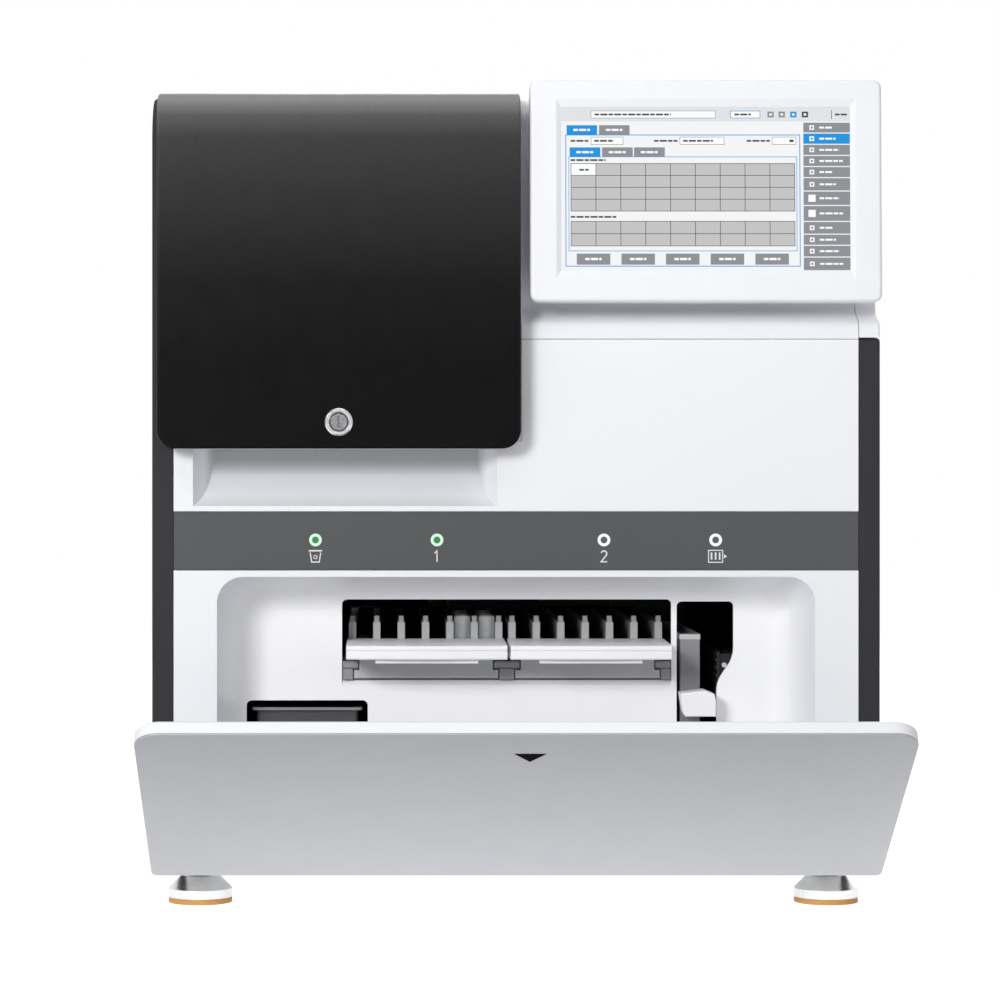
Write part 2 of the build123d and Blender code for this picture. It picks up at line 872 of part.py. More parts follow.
def reagent_tray(index):
    """Grey drawer: a grooved runner block, a floor and one rib each side of every channel."""
    centre = drawer_x(index)
    foot_half = drawer_pitch / 2 - rail_stem_half - rail_play
    groove_half = drawer_pitch / 2 - rail_cap_half - rail_play
    floor_half = channels * channel_pitch / 2 + rib_width / 2
    runner_y = (recess_depth - tray_nose, tray_back)
    groove_low = rail_cap_low - rail_play
    tray = box((centre - foot_half, centre + foot_half), runner_y, (tray_low, groove_low))
    tray += box((centre - groove_half, centre + groove_half), runner_y, (groove_low, tray_floor))
    floor_y = (tray_front, tray_back)
    tray += box((centre - floor_half, centre + floor_half), floor_y, (tray_floor, channel_floor))
    hook = polygon(
        (
            (tray_front, rib_top),
            (tray_front + 9, rib_top),
            (tray_front + 6, rib_top + rib_tip),
            (tray_front + 2.5, rib_top + rib_tip),
        )
    )
    for x in rib_xs(centre):
        tray += box((x - rib_width / 2, x + rib_width / 2), floor_y, (channel_floor, rib_top))
        tray += across(hook, (x - rib_width / 3, x + rib_width / 3))
    # The runner block is hollowed from below between its two grooved edges.
    hollow_half = groove_half - 6
    hollow_y = (runner_y[0] + 4, tray_back - 4)
    return tray - box((centre - hollow_half, centre + hollow_half), hollow_y, (tray_low - 1, tray_floor - 3))


def reagent_handle(index):
    """White pull in front of a drawer: bowed and grooved front, hollow below, with a finger lip."""
    centre = drawer_x(index)
    half = handle_width / 2

    def plan(inset):
        front_y = handle_front + handle_bow + inset
        bow = ThreePointArc(
            (centre - half + inset, front_y),
            (centre, handle_front + inset),
            (centre + half - inset, front_y),
        )
        sides = Polyline(
            (centre + half - inset, front_y),
            (centre + half - inset, handle_back - inset),
            (centre - half + inset, handle_back - inset),
            (centre - half + inset, front_y),
        )
        return make_face(bow + sides)

    pull = upward(plan(0.0), (handle_low, handle_top + handle_rise))
    above_slope = polygon(
        (
            (handle_front - 1, handle_top),
            (handle_back, handle_top + handle_rise),
            (handle_back + 1, handle_top + handle_rise + 1),
            (handle_front - 1, handle_top + handle_rise + 1),
        )
    )
    pull -= across(above_slope, (centre - half - 1, centre + half + 1))
    near_front = [e for e in pull.edges() if e.center().Y < handle_front + handle_bow]
    pull = fillet([e for e in near_front if abs(e.center().X - centre) < 5], 1.6)
    groove_height, groove_depth = handle_groove
    groove_z = handle_low + handle_height * 0.6
    pull -= upward(plan(-1.0) - plan(groove_depth), (groove_z, groove_z + groove_height))
    inner_top = handle_top - handle_wall
    pull -= upward(plan(handle_wall), (handle_low - 1, inner_top))
    seat_half = drawer_pitch / 2 - rail_cap_half - rail_play
    seat_y = (recess_depth - tray_nose, handle_back)
    pull += box((centre - seat_half, centre + seat_half), seat_y, (tray_floor, inner_top))
    lip_front = handle_front + 2 * handle_bow
    lip_x = (centre - lip_width / 2, centre + lip_width / 2)
    return pull + box(lip_x, (lip_front, lip_front + lip_length), (tray_floor + 0.2, inner_top))


def reagent_cartridges():
    """Two clear strips of conical wells in the last channels of the left drawer."""
    strips = []
    ribs = rib_xs(drawer_x(0))
    front = tray_front + cartridge_behind
    gap = channel_pitch - rib_width - 2 * cartridge_play
    pitch = cartridge_length / cartridge_wells
    depth = cartridge_top - channel_floor - 2
    for i in (channels - 2, channels - 1):
        x = (ribs[i] + ribs[i + 1]) / 2
        span = (x - gap / 2, x + gap / 2)
        strip = box(span, (front, front + cartridge_length), (channel_floor, cartridge_top))
        for k in range(cartridge_wells):
            well = Cone(1.6, gap / 2 - 1, depth)
            strip -= Pos(x, front + pitch * (k + 0.5), cartridge_top - depth / 2) * well
        strips.append(strip)
    return group(strips)


def rack_lane():
    """Dark channel that guides the sample rack, with ribs along its right wall."""
    front = recess_depth + skin + seam
    back = rack_back() + 24.0
    left = port_left - 2.6
    right = port_neck + 1.0
    low = rack_low - 0.3 - lane_floor
    high = port_turn_high - 4
    lane = box((left, right + lane_wall), (front, back), (low, low + lane_floor))
    lane += box((left, left + lane_wall), (front, back), (low, deck_height - 12))
    lane += box((right, right + lane_wall), (front, back), (low, high))
    lane += box((left, right + lane_wall), (back - lane_wall, back), (low, high))
    for row in range(lane_rows):
        z = rack_low + 12 + row * lane_row_pitch
        lane += box((right - 1.2, right), (front, back - lane_wall), (z, z + 2.2))
    return lane


def rack_back():
    return rack_front + rack_length


def tube_ys():
    """Middle of each tube place, along the rack."""
    first = rack_front + rack_front_block + rack_pitch / 2
    return [first + k * rack_pitch for k in range(rack_tubes)]


def rack_body():
    """Grey rack on a base bar, with dividers between a wall and a low lip on the side that is scanned."""
    x = (rack_left, rack_left + rack_width)
    base_top = rack_low + rack_base
    top = rack_top - rack_cap_thick
    starts = [y - rack_tube_half for y in tube_ys()]
    ends = [y + rack_tube_half for y in tube_ys()]
    base = box(x, (rack_front, rack_back()), (rack_low, base_top))
    front_block = box(x, (rack_front, starts[0]), (base_top, top))
    front_block = fillet(front_block.edges().filter_by(Axis.Z).sort_by(Axis.Y)[:2], 1.5)
    rear_block = box(x, (ends[-1], rack_back()), (base_top, top))
    wall = box((x[0], x[0] + rack_wall), (starts[0], ends[-1]), (base_top, top))
    lip = box((x[1] - rack_wall, x[1]), (starts[0], ends[-1]), (base_top, base_top + rack_lip))
    pieces = [base, front_block, rear_block, wall, lip]
    for y in zip(ends, starts[1:]):
        pieces.append(box((x[0] + rack_wall, x[1] - rack_wall), y, (base_top, top)))
    return group(pieces)


def rack_cap():
    """Light label rail on the rack's front end and along the top of both its sides."""
    x = (rack_left - rack_overhang, rack_left + rack_width + rack_overhang)
    z = (rack_top - rack_cap_thick, rack_top)
    front_back = rack_front + rack_front_block
    front = box(x, (rack_front, front_back), z)
    front = fillet(front.edges().filter_by(Axis.Z).sort_by(Axis.Y)[:2], 1.5)
    rail = rack_wall + rack_overhang
    left_rail = box((x[0], x[0] + rail), (front_back, rack_back()), z)
    right_rail = box((x[1] - rail, x[1]), (front_back, rack_back()), z)
    rear = box((x[0] + rail, x[1] - rail), (rack_back() - rack_rear_block, rack_back()), z)
    return group([front, left_rail, right_rail, rear])


def rack_handle():
    """White grip on the front of the rack."""
    left = rack_left - 1.5
    right = port_neck - 2.4
    face = polygon(
        (
            (left, grip_high - 2.4),
            (left + 19, grip_high),
            (right - 1, grip_high - 3),
            (right, grip_high - 8),
            (right, grip_low),
            (left + 4, grip_low),
            (left + 2.4, grip_low + 3),
        )
    )
    grip = through(face, (rack_front - grip_length, rack_front))
    return fillet(grip.faces().sort_by(Axis.Y)[0].edges(), 1.2)


def barcode_reader():
    """Dark bracket beside the port and the reader body that it carries."""
    front = recess_depth + skin + seam
    wall = port_neck + 3.0 + seam
    bracket = box((wall, wall + 12), (front + 1, front + 3), (port_turn_low + 8, port_turn_low + 30))
    bracket += box((wall, wall + 3), (front + 1, front + 26), (port_turn_low + 8, port_turn_low + 30))
    body_z = (deck_height, port_turn_low + 30)
    body = box((wall + 3, wall + 34), (front + 12, front + 80), body_z)
    body = fillet(body.edges().filter_by(Axis.Z), 3)
    screw_z = port_turn_low + 22
    screw = rod_y(wall + 7, (front - 0.4, front + 1), screw_z, 2.6)
    socket = rod_y(wall + 7, (front - 1, front + 0.2), screw_z, 1.2)
    return group([bracket + body, screw - socket])


def waste_bin():
    """Smoky bin: thin walls with draft, a rim and a finger notch in the front."""
    x = (bin_left, bin_right)
    y = (bin_front, bin_front + bin_length)
    outer = outline((x[0] + bin_rim, x[1] - bin_rim), (y[0] + bin_rim, y[1] - bin_rim), 5, 5)
    shell = upward(outer, (bin_low, bin_top))
    inset = bin_rim + bin_wall
    inner = outline((x[0] + inset, x[1] - inset), (y[0] + inset, y[1] - inset), 5 - bin_wall, 5 - bin_wall)
    rim = upward(outline(x, y, 5, 5), (bin_top - 2.4, bin_top))
    shell += rim
    shell -= upward(inner, (bin_low + bin_wall, bin_top + 1))
    return shell


def waste_shelf():
    """Shelf under the bin with a low guide each side, standing on the base tray."""
    front = recess_depth + skin + seam
    back = bin_front + bin_length + 6
    x = (bin_left - 1.0, bin_right + 1.0)
    top = bin_low - 0.3
    shelf = box(x, (front, back), (top - sheet, top))
    for side_x in (x[0], x[1] - sheet):
        shelf += box((side_x, side_x + sheet), (front, back), (body_bottom + sheet, top))
        shelf += box((side_x, side_x + sheet), (front, back), (top, top + 8))
    return shelf


def base_tray():
    """Folded steel tray that carries everything and takes the feet's studs."""
    x = (-fascia_half, fascia_half)
    y = (skin + seam, body_depth - skin - seam)
    z = (body_bottom, body_bottom + sheet)
    tray = box(x, y, z)
    rim = box(x, (recess_depth + 10, y[1]), (z[0], z[0] + tray_flange))
    rim -= box((x[0] + sheet, x[1] - sheet), (0, y[1] - sheet), (z[1], hood_top))
    tray += rim
    for fx, fy in foot_places():
        tray -= rod_z(fx, fy, (0, z[1] + 1), stud_radius + 0.3)
    return tray


def foot_places():
    ys = (foot_setback, body_depth - foot_setback)
    return [(side * foot_x, y) for side in (-1, 1) for y in ys]


def foot_pads():
    pads = []
    for x, y in foot_places():
        pad = rod_z(x, y, (0, pad_thick), pad_radius)
        pads.append(fillet(edges_at(pad, Axis.Z, pad_thick), 0.8))
    return group(pads)


def foot_bodies():
    """Turned aluminium feet: a disc, a cone and a neck, drawn as one profile."""
    top = pad_thick + foot_disc + foot_cone
    profile = make_face(
        Polyline(
            (0, pad_thick),
            (pad_radius - 0.8, pad_thick),
            (pad_radius, pad_thick + 0.8),
            (pad_radius, pad_thick + foot_disc - 1),
            (pad_radius - 1, pad_thick + foot_disc),
            (foot_neck_radius, top),
            (0, top),
            close=True,
        )
    )
    body = revolve(Plane.XZ * profile, Axis.Z)
    return group([Pos(x, y, 0) * body for x, y in foot_places()])


def foot_studs():
    """Threaded stud with its lock nut under the base tray and a nut above it."""
    low = pad_thick + foot_disc + foot_cone
    studs = []
    for x, y in foot_places():
        stud = rod_z(x, y, (low, body_bottom + 22), stud_radius)
        lower = upward(Pos(x, y) * RegularPolygon(nut_radius, 6), (low + 0.6, body_bottom))
        upper_z = (body_bottom + sheet, body_bottom + sheet + nut_thick)
        upper = upward(Pos(x, y) * RegularPolygon(nut_radius, 6), upper_z)
        studs.append(stud + lower + upper)
    return group(studs)


def deck_ys():
    return recess_depth + skin + seam + deck_behind_fascia, body_depth - deck_rear_gap


def deck_half():
    return fascia_half - skin - seam


def deck_sheets():
    """Steel deck in three sheets that leave a slot over the rack, on a leg along each side."""
    front, back = deck_ys()
    half = deck_half()
    z = (deck_height - sheet, deck_height)
    slot_x = (port_left - 3.4, port_right + 28)
    slot_back = rack_back() + 27
    pieces = [
        box((-half, slot_x[0]), (front, back), z),
        box((slot_x[0], half), (slot_back, back), z),
        box((slot_x[1], half), (front, slot_back), z),
    ]
    for side in (-1, 1):
        leg_x = sorted((side * half, side * (half - sheet)))
        pieces.append(box(leg_x, (front, back), (body_bottom + sheet, z[0])))
    return pieces


def lane_bars():
    """Two bars under the rack's lane, each hung from the deck on one side."""
    front = deck_ys()[0]
    top = rack_low - 0.3 - lane_floor
    hanger_x = (bin_right + 4, bin_right + 4 + sheet)
    pieces = []
    for y in (front + 20, front + 150):
        pieces.append(box((hanger_x[1], deck_half() - sheet), (y, y + 20), (top - sheet, top)))
        pieces.append(box(hanger_x, (y, y + 20), (top - sheet, deck_height - sheet)))
    return pieces


def corner_posts():
    """Angle posts: the front pair carries the bay, the rear pair the top covers."""
    front, back = deck_ys()
    half = deck_half()
    pieces = []
    for side in (-1, 1):
        for y, top in ((front + 2, bay_floor - skin), (back - post_leg, hood_top - skin - post_leg)):
            x = sorted((side * half, side * (half - post_leg)))
            post = box(x, (y, y + post_leg), (deck_height, top))
            hollow_x = sorted((side * (half - sheet), side * (half - post_leg - 1)))
            pieces.append(post - box(hollow_x, (y + sheet, y + post_leg + 1), (0, hood_top)))
    return pieces


def chassis():
    return group(deck_sheets() + lane_bars() + corner_posts())


def bay_tub():
    """Dark liner of the left bay with a flat floor."""
    left = -fascia_half + bay_side - 3
    right = cover_right + neck_play - bay_side + 3
    outer = box((left, right), (skin + 0.3, bay_rear), (bay_floor - skin, neck_top - skin - 0.3))
    inner = box((left + 2, right - 2), (skin - 1, bay_rear - 2), (bay_floor, hood_top))
    tub = outer - inner
    # The front edge of the floor turns up behind the sill, and the corner follows the frame.
    tub += box((left, right), (skin + 0.3, skin + 2.3), (bay_floor - skin, bay_low + bay_sill - 1))
    tub &= across(neck_outline(skin + 0.3, 0), (left - 1, right + 1))
    cam_room = cam_length + 3
    cam_back = skin + cam_gap + cam_thick + 1.5
    return tub - box((lock_x - cam_room, lock_x + cam_room), (0, cam_back), (0, lock_z + cam_room))


def tip_box():
    """Closed box of pipette tips: a ribbed base and a lid with a rounded rim."""
    left = -fascia_half + bay_side + tip_box_side
    x = (left, left + tip_box_width)
    y = (tip_box_front, tip_box_front + tip_box_length)
    split = bay_floor + tip_box_base
    base = box(x, y, (bay_floor, split))
    base = fillet(base.edges().filter_by(Axis.Z), 4)
    for k in range(tip_box_ribs):
        rib_y = y[0] + (k + 1) * tip_box_rib_pitch
        for side_x in (x[0], x[1] - 1):
            base -= box((side_x, side_x + 1), (rib_y - 2, rib_y + 2), (bay_floor + 4, split - 6))
    lid_top = split + tip_box_lid
    lid = box((x[0] - 1.5, x[1] + 1.5), (y[0] - 1.5, y[1] + 1.5), (split, lid_top))
    lid = fillet(lid.edges().filter_by(Axis.Z), 5)
    lid = fillet(edges_at(lid, Axis.Z, lid_top), 3)
    return group([base, lid])


def substrate_bottles():
    """Two white trigger-solution bottles with rounded shoulders."""
    profile = make_face(
        Polyline(
            (0, 0),
            (bottle_radius - 3, 0),
            (bottle_radius, 3),
            (bottle_radius, bottle_height - 22),
            (bottle_radius - 2.5, bottle_height - 14),
            (bottle_neck, bottle_height - 8),
            (bottle_neck, bottle_height),
            (0, bottle_height),
            close=True,
        )
    )
    bottle = revolve(Plane.XZ * profile, Axis.Z)
    return group([Pos(x, bottle_y, bay_floor) * bottle for x in bottle_xs])


def bottle_caps():
    low = bay_floor + bottle_height
    high = low + bottle_cap_height
    caps = [rod_z(x, bottle_y, (low, high), bottle_neck + 3) for x in bottle_xs]
    return group([chamfer(edges_at(cap, Axis.Z, high), 1.5) for cap in caps])


def rear_panel():
    """Steel rear panel with a fan grille, slots and the cut-outs of the connectors."""
    face = outline((-fascia_half, fascia_half), (body_bottom + 1, seam_height))
    panel = through(face, (body_depth - skin, body_depth))
    depth = (body_depth - skin - 1, body_depth + 1)
    spokes = Rectangle(3, fan_side) + Rectangle(fan_side, 3)
    for ring in range(grille_rings):
        radius = fan_hub_radius - 1 + ring * grille_pitch
        band = Circle(radius + grille_slot) - Circle(radius) - spokes
        panel -= through(Pos(fan_x, fan_z) * band, depth)
    for row in range(8):
        slot = Pos(inlet_x - 80, fan_z - 50 + row * 12) * SlotOverall(120, 5)
        panel -= through(slot, depth)
    cutouts = [(inlet_x, inlet_half, inlet_half_height), (switch_x, switch_half, switch_half_height)]
    for x, half, half_height in connectors():
        cutouts.append((x, half + connector_wall, half_height + connector_wall))
    for x, half, half_height in cutouts:
        cut = outline(
            (x - half - cutout_play, x + half + cutout_play),
            (inlet_z - half_height - cutout_play, inlet_z + half_height + cutout_play),
        )
        panel -= through(cut, depth)
    return panel


def power_inlet():
    """Appliance inlet: a shrouded socket with three flat pins."""
    body_x = (inlet_x - inlet_half, inlet_x + inlet_half)
    body_z = (inlet_z - inlet_half_height, inlet_z + inlet_half_height)
    inlet = box(body_x, (body_depth - inlet_depth, body_depth), body_z)
    cavity = outline((inlet_x - 12, inlet_x + 12), (inlet_z - 8, inlet_z + 8), 1.0, 5.0)
    cavity_floor = body_depth - 16
    inlet -= through(cavity, (cavity_floor, body_depth + 1))
    pins = []
    for dx, dz in ((-7, -1.5), (0, 2.5), (7, -1.5)):
        x = inlet_x + dx
        z = inlet_z + dz
        pins.append(box((x - 1, x + 1), (cavity_floor, body_depth - 2), (z - 2, z + 2)))
    return group([inlet] + pins)


def switch_frame():
    """Housing round the rocker, snapped into the rear panel."""
    body_z = (inlet_z - switch_half_height, inlet_z + switch_half_height)
    housing = box((switch_x - switch_half, switch_x + switch_half), (body_depth - 18, body_depth), body_z)
    well = switch_half - 1.5
    well_z = (body_z[0] + 1.7, body_z[1] - 1.7)
    housing -= box((switch_x - well, switch_x + well), (body_depth - 13, body_depth + 1), well_z)
    for side in (-1, 1):
        x = sorted((switch_x + side * well, switch_x + side * (well - 0.6)))
        housing += rod_x(x, body_depth - trunnion_depth, inlet_z, trunnion_radius)
    return housing


def power_switch():
    """Rocker with its two slanted faces, on the housing's trunnions."""
    rocker = polygon(
        (
            (body_depth - 8, inlet_z - 5.5),
            (body_depth - 4.6, inlet_z - 7.6),
            (body_depth - 1.2, inlet_z - 7.2),
            (body_depth - 3.6, inlet_z),
            (body_depth - 3.2, inlet_z + 7.2),
            (body_depth - 6.0, inlet_z + 7.0),
            (body_depth - 8.5, inlet_z + 5.0),
        )
    )
    half = switch_half - 1.5 - rocker_play
    body = across(rocker, (switch_x - half, switch_x + half))
    for side in (-1, 1):
        x = sorted((switch_x + side * (half - rocker_play), switch_x + side * (half + 1)))
        body -= rod_x(x, body_depth - trunnion_depth, inlet_z, trunnion_radius + pin_clearance)
    return body


def connectors():
    """Middle, half width and half height of each data connector's mouth."""
    jack = (port_row_x + jack_offset, jack_half, jack_half_height)
    return [jack] + [(port_row_x + dx, serial_half, serial_half_height) for dx in serial_offsets]


def rear_ports():
    """Metal-shelled network jack and three serial bus ports on one upright board."""
    front = body_depth - connector_sunk
    floor = front - connector_depth
    back = floor - 2.0
    pieces = []
    for x, half, half_height in connectors():
        wide = half + connector_wall
        tall = half_height + connector_wall
        shell = box((x - wide, x + wide), (back, front), (inlet_z - tall, inlet_z + tall))
        shell -= box((x - half, x + half), (floor, front + 1), (inlet_z - half_height, inlet_z + half_height))
        pieces.append(shell)
    pieces.append(box((port_row_x - 36, port_row_x + 36), (back - 1.6, back), (inlet_z - 12, inlet_z + 12)))
    return group(pieces)


def fan_frame():
    """Square frame with a round duct, a hub and four struts."""
    back = body_depth - skin
    half = fan_side / 2
    y = (back - fan_depth, back)
    face = Pos(fan_x, fan_z) * (RectangleRounded(fan_side, fan_side, 5) - Circle(half - 2))
    frame = through(face, y)
    hub = Circle(fan_hub_radius) + Rectangle(4, fan_side - 2) + Rectangle(fan_side - 2, 4)
    frame += through(Pos(fan_x, fan_z) * hub, (y[0], y[0] + 4))
    return frame + rod_y(fan_x, (y[0] + 4, y[1] - 6), fan_z, spindle_radius)


def fan_impeller():
    """Hub with pitched blades, turning on the frame's spindle."""
    back = body_depth - skin
    y = (back - fan_depth + 5, back - 3)
    impeller = rod_y(fan_x, y, fan_z, fan_hub_radius)
    tip_radius = fan_side / 2 - 4
    blade_length = tip_radius - fan_hub_radius + 1
    blade_middle = fan_hub_radius + blade_length / 2 - 1
    for k in range(fan_blades):
        blade = Pos(0, 0, blade_middle) * Rot(0, 0, 38) * Box(17, 1.6, blade_length)
        impeller += Pos(fan_x, (y[0] + y[1]) / 2, fan_z) * Rot(0, k * 360 / fan_blades, 0) * blade
    impeller &= rod_y(fan_x, y, fan_z, tip_radius)
    return impeller - rod_y(fan_x, (y[0] - 1, y[1] - 2), fan_z, spindle_radius + pin_clearance)


def power_supply():
    """Steel box with a slotted lid, on the base tray."""
    x = (half_width - supply_side - supply_width, half_width - supply_side)
    y = (body_depth - supply_rear - supply_length, body_depth - supply_rear)
    z = (body_bottom + sheet, body_bottom + sheet + supply_height)
    supply = box(x, y, z)
    supply = fillet(supply.edges().filter_by(Axis.Z), 2)
    for k in range(supply_slots):
        slot_y = y[0] + 24 + k * supply_slot_pitch
        supply -= box((x[0] + 24, x[1] - 24), (slot_y, slot_y + 6), (z[1] - 4, z[1] + 1))
    return supply


def control_board():
    """Upright circuit board on four standoffs, with its chips and connectors."""
    y = deck_ys()[1] - board_from_deck_rear
    x = (board_left, board_left + board_width)
    z = (deck_height, deck_height + board_height)
    back = y + board_thick
    board = [box(x, (y, back), z)]
    # Each chip: its place across and up the board as a share of it, and its side.
    chips = ((0.17, 0.4, 30), (0.5, 0.6, 24), (0.75, 0.33, 18), (0.33, 0.8, 16), (0.88, 0.78, 22))
    for across_share, up_share, side in chips:
        cx = x[0] + across_share * board_width
        cz = z[0] + up_share * board_height
        board.append(box((cx - side / 2, cx + side / 2), (y - 3, y), (cz - side / 2, cz + side / 2)))
    for k in range(4):
        cx = x[0] + (k + 0.4) * board_width / 4
        board.append(box((cx - 14, cx + 14), (y - 11, y), (z[1] - 14, z[1] - 4)))
    for cx in (x[0] + 12, x[1] - 12):
        bracket = box((cx - 8, cx + 8), (back, y + board_from_deck_rear), (z[0], z[0] + sheet))
        bracket += box((cx - 8, cx + 8), (back, back + sheet), (z[0], z[0] + 24))
        board.append(bracket)
    return group(board)


def gantry():
    """Sealed linear drive across the body on two posts, with its motor."""
    half = fascia_half - sheet - seam - post_leg - 4
    y = (gantry_y, gantry_y + gantry_thick)
    rail = box((-half, half), y, (gantry_low, gantry_high))
    rail = chamfer(rail.edges().filter_by(Axis.X), 1.5)
    for z in (gantry_low + groove_inset, gantry_high - groove_inset):
        rail -= box((-half - 1, half + 1), (y[0] - 1, y[0] + 2.5), (z - 2, z + 2))
    pieces = [rail]
    for side in (-1, 1):
        x = sorted((side * half, side * (half - 8)))
        post = box(x, (y[0] + 2, y[1] + 20), (deck_height, gantry_low))
        post -= box((-half - 1, half + 1), (y[1] - 4, y[1] + 12), (deck_height + 20, gantry_low - 16))
        pieces.append(post)
    motor_x = half - motor_inset
    motor_z = (gantry_low - 5, gantry_low - 5 + motor_side)
    motor = box((motor_x - motor_side / 2, motor_x + motor_side / 2), (y[1], y[1] + motor_length), motor_z)
    pieces.append(chamfer(motor.edges().filter_by(Axis.Y), 4))
    return group(pieces)


def pipettor_carriage():
    """Carriage on the front of the drive, with two runners in its grooves."""
    x = (probe_x - carriage_width / 2, probe_x + carriage_width / 2)
    y = (gantry_y - slide_play - carriage_thick, gantry_y - slide_play)
    block = box(x, y, (gantry_low - 2, gantry_high + 10))
    block = fillet(block.edges().filter_by(Axis.Y), 4)
    for z in (gantry_low + groove_inset, gantry_high - groove_inset):
        block += box(x, (y[1] - 1, gantry_y + 2.0), (z - 1.6, z + 1.6))
    groove_half = head_width / 4
    block -= box(
        (probe_x - groove_half, probe_x + groove_half),
        (y[0] - 1, y[0] + 6),
        (gantry_low - 9, gantry_high + 19),
    )
    return block


def pipettor_head():
    """Pump head that slides up and down on the carriage."""
    carriage_front = gantry_y - slide_play - carriage_thick
    y = (carriage_front - slide_play - head_thick, carriage_front - slide_play)
    x = (probe_x - head_width / 2, probe_x + head_width / 2)
    head = box(x, y, (head_low, head_high))
    head = fillet(head.edges().filter_by(Axis.Z), 4)
    key_half = head_width / 4 - slide_play
    head += box((probe_x - key_half, probe_x + key_half), (y[1] - 1, y[1] + 5), (head_low + 20, head_high))
    return head


def pipettor_probe():
    """Steel probe in its collar below the head."""
    y = gantry_y - 2 * slide_play - carriage_thick - head_thick / 2
    collar = rod_z(probe_x, y, (head_low - 12, head_low), 5)
    needle = rod_z(probe_x, y, (probe_tip, head_low - 12), probe_radius)
    return chamfer(edges_at(collar, Axis.Z, head_low - 12), 2) + needle


def incubator_block():
    """Heated aluminium block behind the drawers, slotted in line with their channels."""
    y = (tray_back + block_gap, tray_back + block_gap + block_depth)
    x = (drawer_pair_x - drawer_pitch, drawer_pair_x + drawer_pitch)
    top = deck_height + block_height
    block = box(x, y, (deck_height, top))
    groove_half = (channel_pitch - rib_width) / 2
    for index in (0, 1):
        ribs = rib_xs(drawer_x(index))
        for a, b in zip(ribs, ribs[1:]):
            middle = (a + b) / 2
            groove_x = (middle - groove_half, middle + groove_half)
            block -= box(groove_x, (y[0] - 1, y[1] - 12), (deck_height + block_floor, top + 1))
    return block


def reader_housing():
    """Light-tight reader on the block, with its detector tube lying across."""
    front = tray_back + block_gap
    middle_y = front + turret_from_block
    base_z = deck_height + block_height
    bridge_x = (drawer_pair_x - reader_width / 2, drawer_pair_x + reader_width / 2)
    top = base_z + reader_base + turret_height
    body = box(bridge_x, (front + block_depth / 3, front + block_depth), (base_z, base_z + reader_base))
    body += rod_z(drawer_pair_x, middle_y, (base_z + reader_base, top), turret_radius)
    tube_x = (drawer_pair_x, drawer_pair_x + tube_reach)
    body += rod_x(tube_x, middle_y, base_z + reader_base + turret_height / 2, tube_radius)
    return chamfer(edges_at(body, Axis.Z, top), 3)


def door_outline(inset=0.0):
    return outline(
        (-half_width + inset, half_width - inset),
        (door_low + inset, door_high - inset),
        door_low_round - inset,
        door_top_round - inset,
    )


def door_swing(piece):
    """Turns a piece of the closed door open about its hinge."""
    hinge = Pos(0, door_hinge_y, door_hinge_z)
    return hinge * Rot(door_open, 0, 0) * hinge.inverse() * piece


def door_skin():
    """Silver outer panel of the door, with a soft front edge."""
    front = -door_gap - door_thick
    skin_back = front + door_skin_thick
    panel = through(door_outline(), (front, skin_back))
    panel = fillet(edges_at(panel, Axis.Y, front), door_skin_round)
    return door_swing(panel)


def door_liner():
    """White inner moulding of the door, a shallow tray with ribs, hinged in two pockets."""
    front = -door_gap - door_thick + door_skin_thick
    back = -door_gap
    liner = through(door_outline(), (front, back))
    liner = fillet(edges_at(liner, Axis.Y, back), door_inner_round)
    pocket_z = (door_low + 22, door_high - 14)
    pocket = outline((-half_width + 14, half_width - 14), pocket_z, 8, 12)
    liner -= through(pocket, (front + 2.2, back + 1))
    for x in (-door_rib_x, 0, door_rib_x):
        liner += box((x - 1.5, x + 1.5), (front + 2.2, back - 1.0), pocket_z)
    for side in (-1, 1):
        x = side * door_hinge_x
        reach = 2 * cheek + 2 * side_play + 1
        liner -= box((x - reach, x + reach), (front - 1, back + 1), (0, door_hinge_z + eye_radius + 1))
    return door_swing(liner)


def door_hinge_leaves():
    """Eye and leaf screwed in each hinge pocket of the door."""
    leaves = []
    front = -door_gap - door_thick + door_skin_thick
    for side in (-1, 1):
        x = side * door_hinge_x
        span = (x - cheek, x + cheek)
        leaf = box(span, (front, -door_gap - 1), (door_hinge_z, door_hinge_z + eye_radius + 1))
        leaf += rod_x(span, door_hinge_y, door_hinge_z, door_eye_radius)
        leaf -= rod_x((x - 20, x + 20), door_hinge_y, door_hinge_z, door_pin_radius + pin_clearance)
        leaves.append(leaf)
    return door_swing(group(leaves))


def door_hinge_brackets():
    """Clevis on the base tray and pin for each eye of the door."""
    pieces = []
    ear_radius = door_eye_radius
    for side in (-1, 1):
        x = side * door_hinge_x
        bracket = Part()
        for ear_side in (-1, 1):
            inner = x + ear_side * (cheek + side_play)
            outer = inner + ear_side * cheek
            span = sorted((inner, outer))
            ear = rod_x(span, door_hinge_y, door_hinge_z, ear_radius)
            ear += box(span, (door_hinge_y, 14), (door_hinge_z - ear_radius, door_hinge_z + ear_radius))
            bracket += ear
        reach = 2 * cheek + side_play
        block_z = (body_bottom + sheet, door_hinge_z + ear_radius)
        bracket += box((x - reach, x + reach), (skin + 1, 14), block_z)
        hole = rod_x((x - 30, x + 30), door_hinge_y, door_hinge_z, door_pin_radius)
        pieces.append(bracket - hole)
        pieces.append(rod_x((x - reach, x + reach), door_hinge_y, door_hinge_z, door_pin_radius))
    return group(pieces)


def display_place(piece):
    """Leans a piece that is drawn upright about the display's middle."""
    return Pos(display_x, display_y, display_z) * Rot(-display_lean, 0, 0) * piece


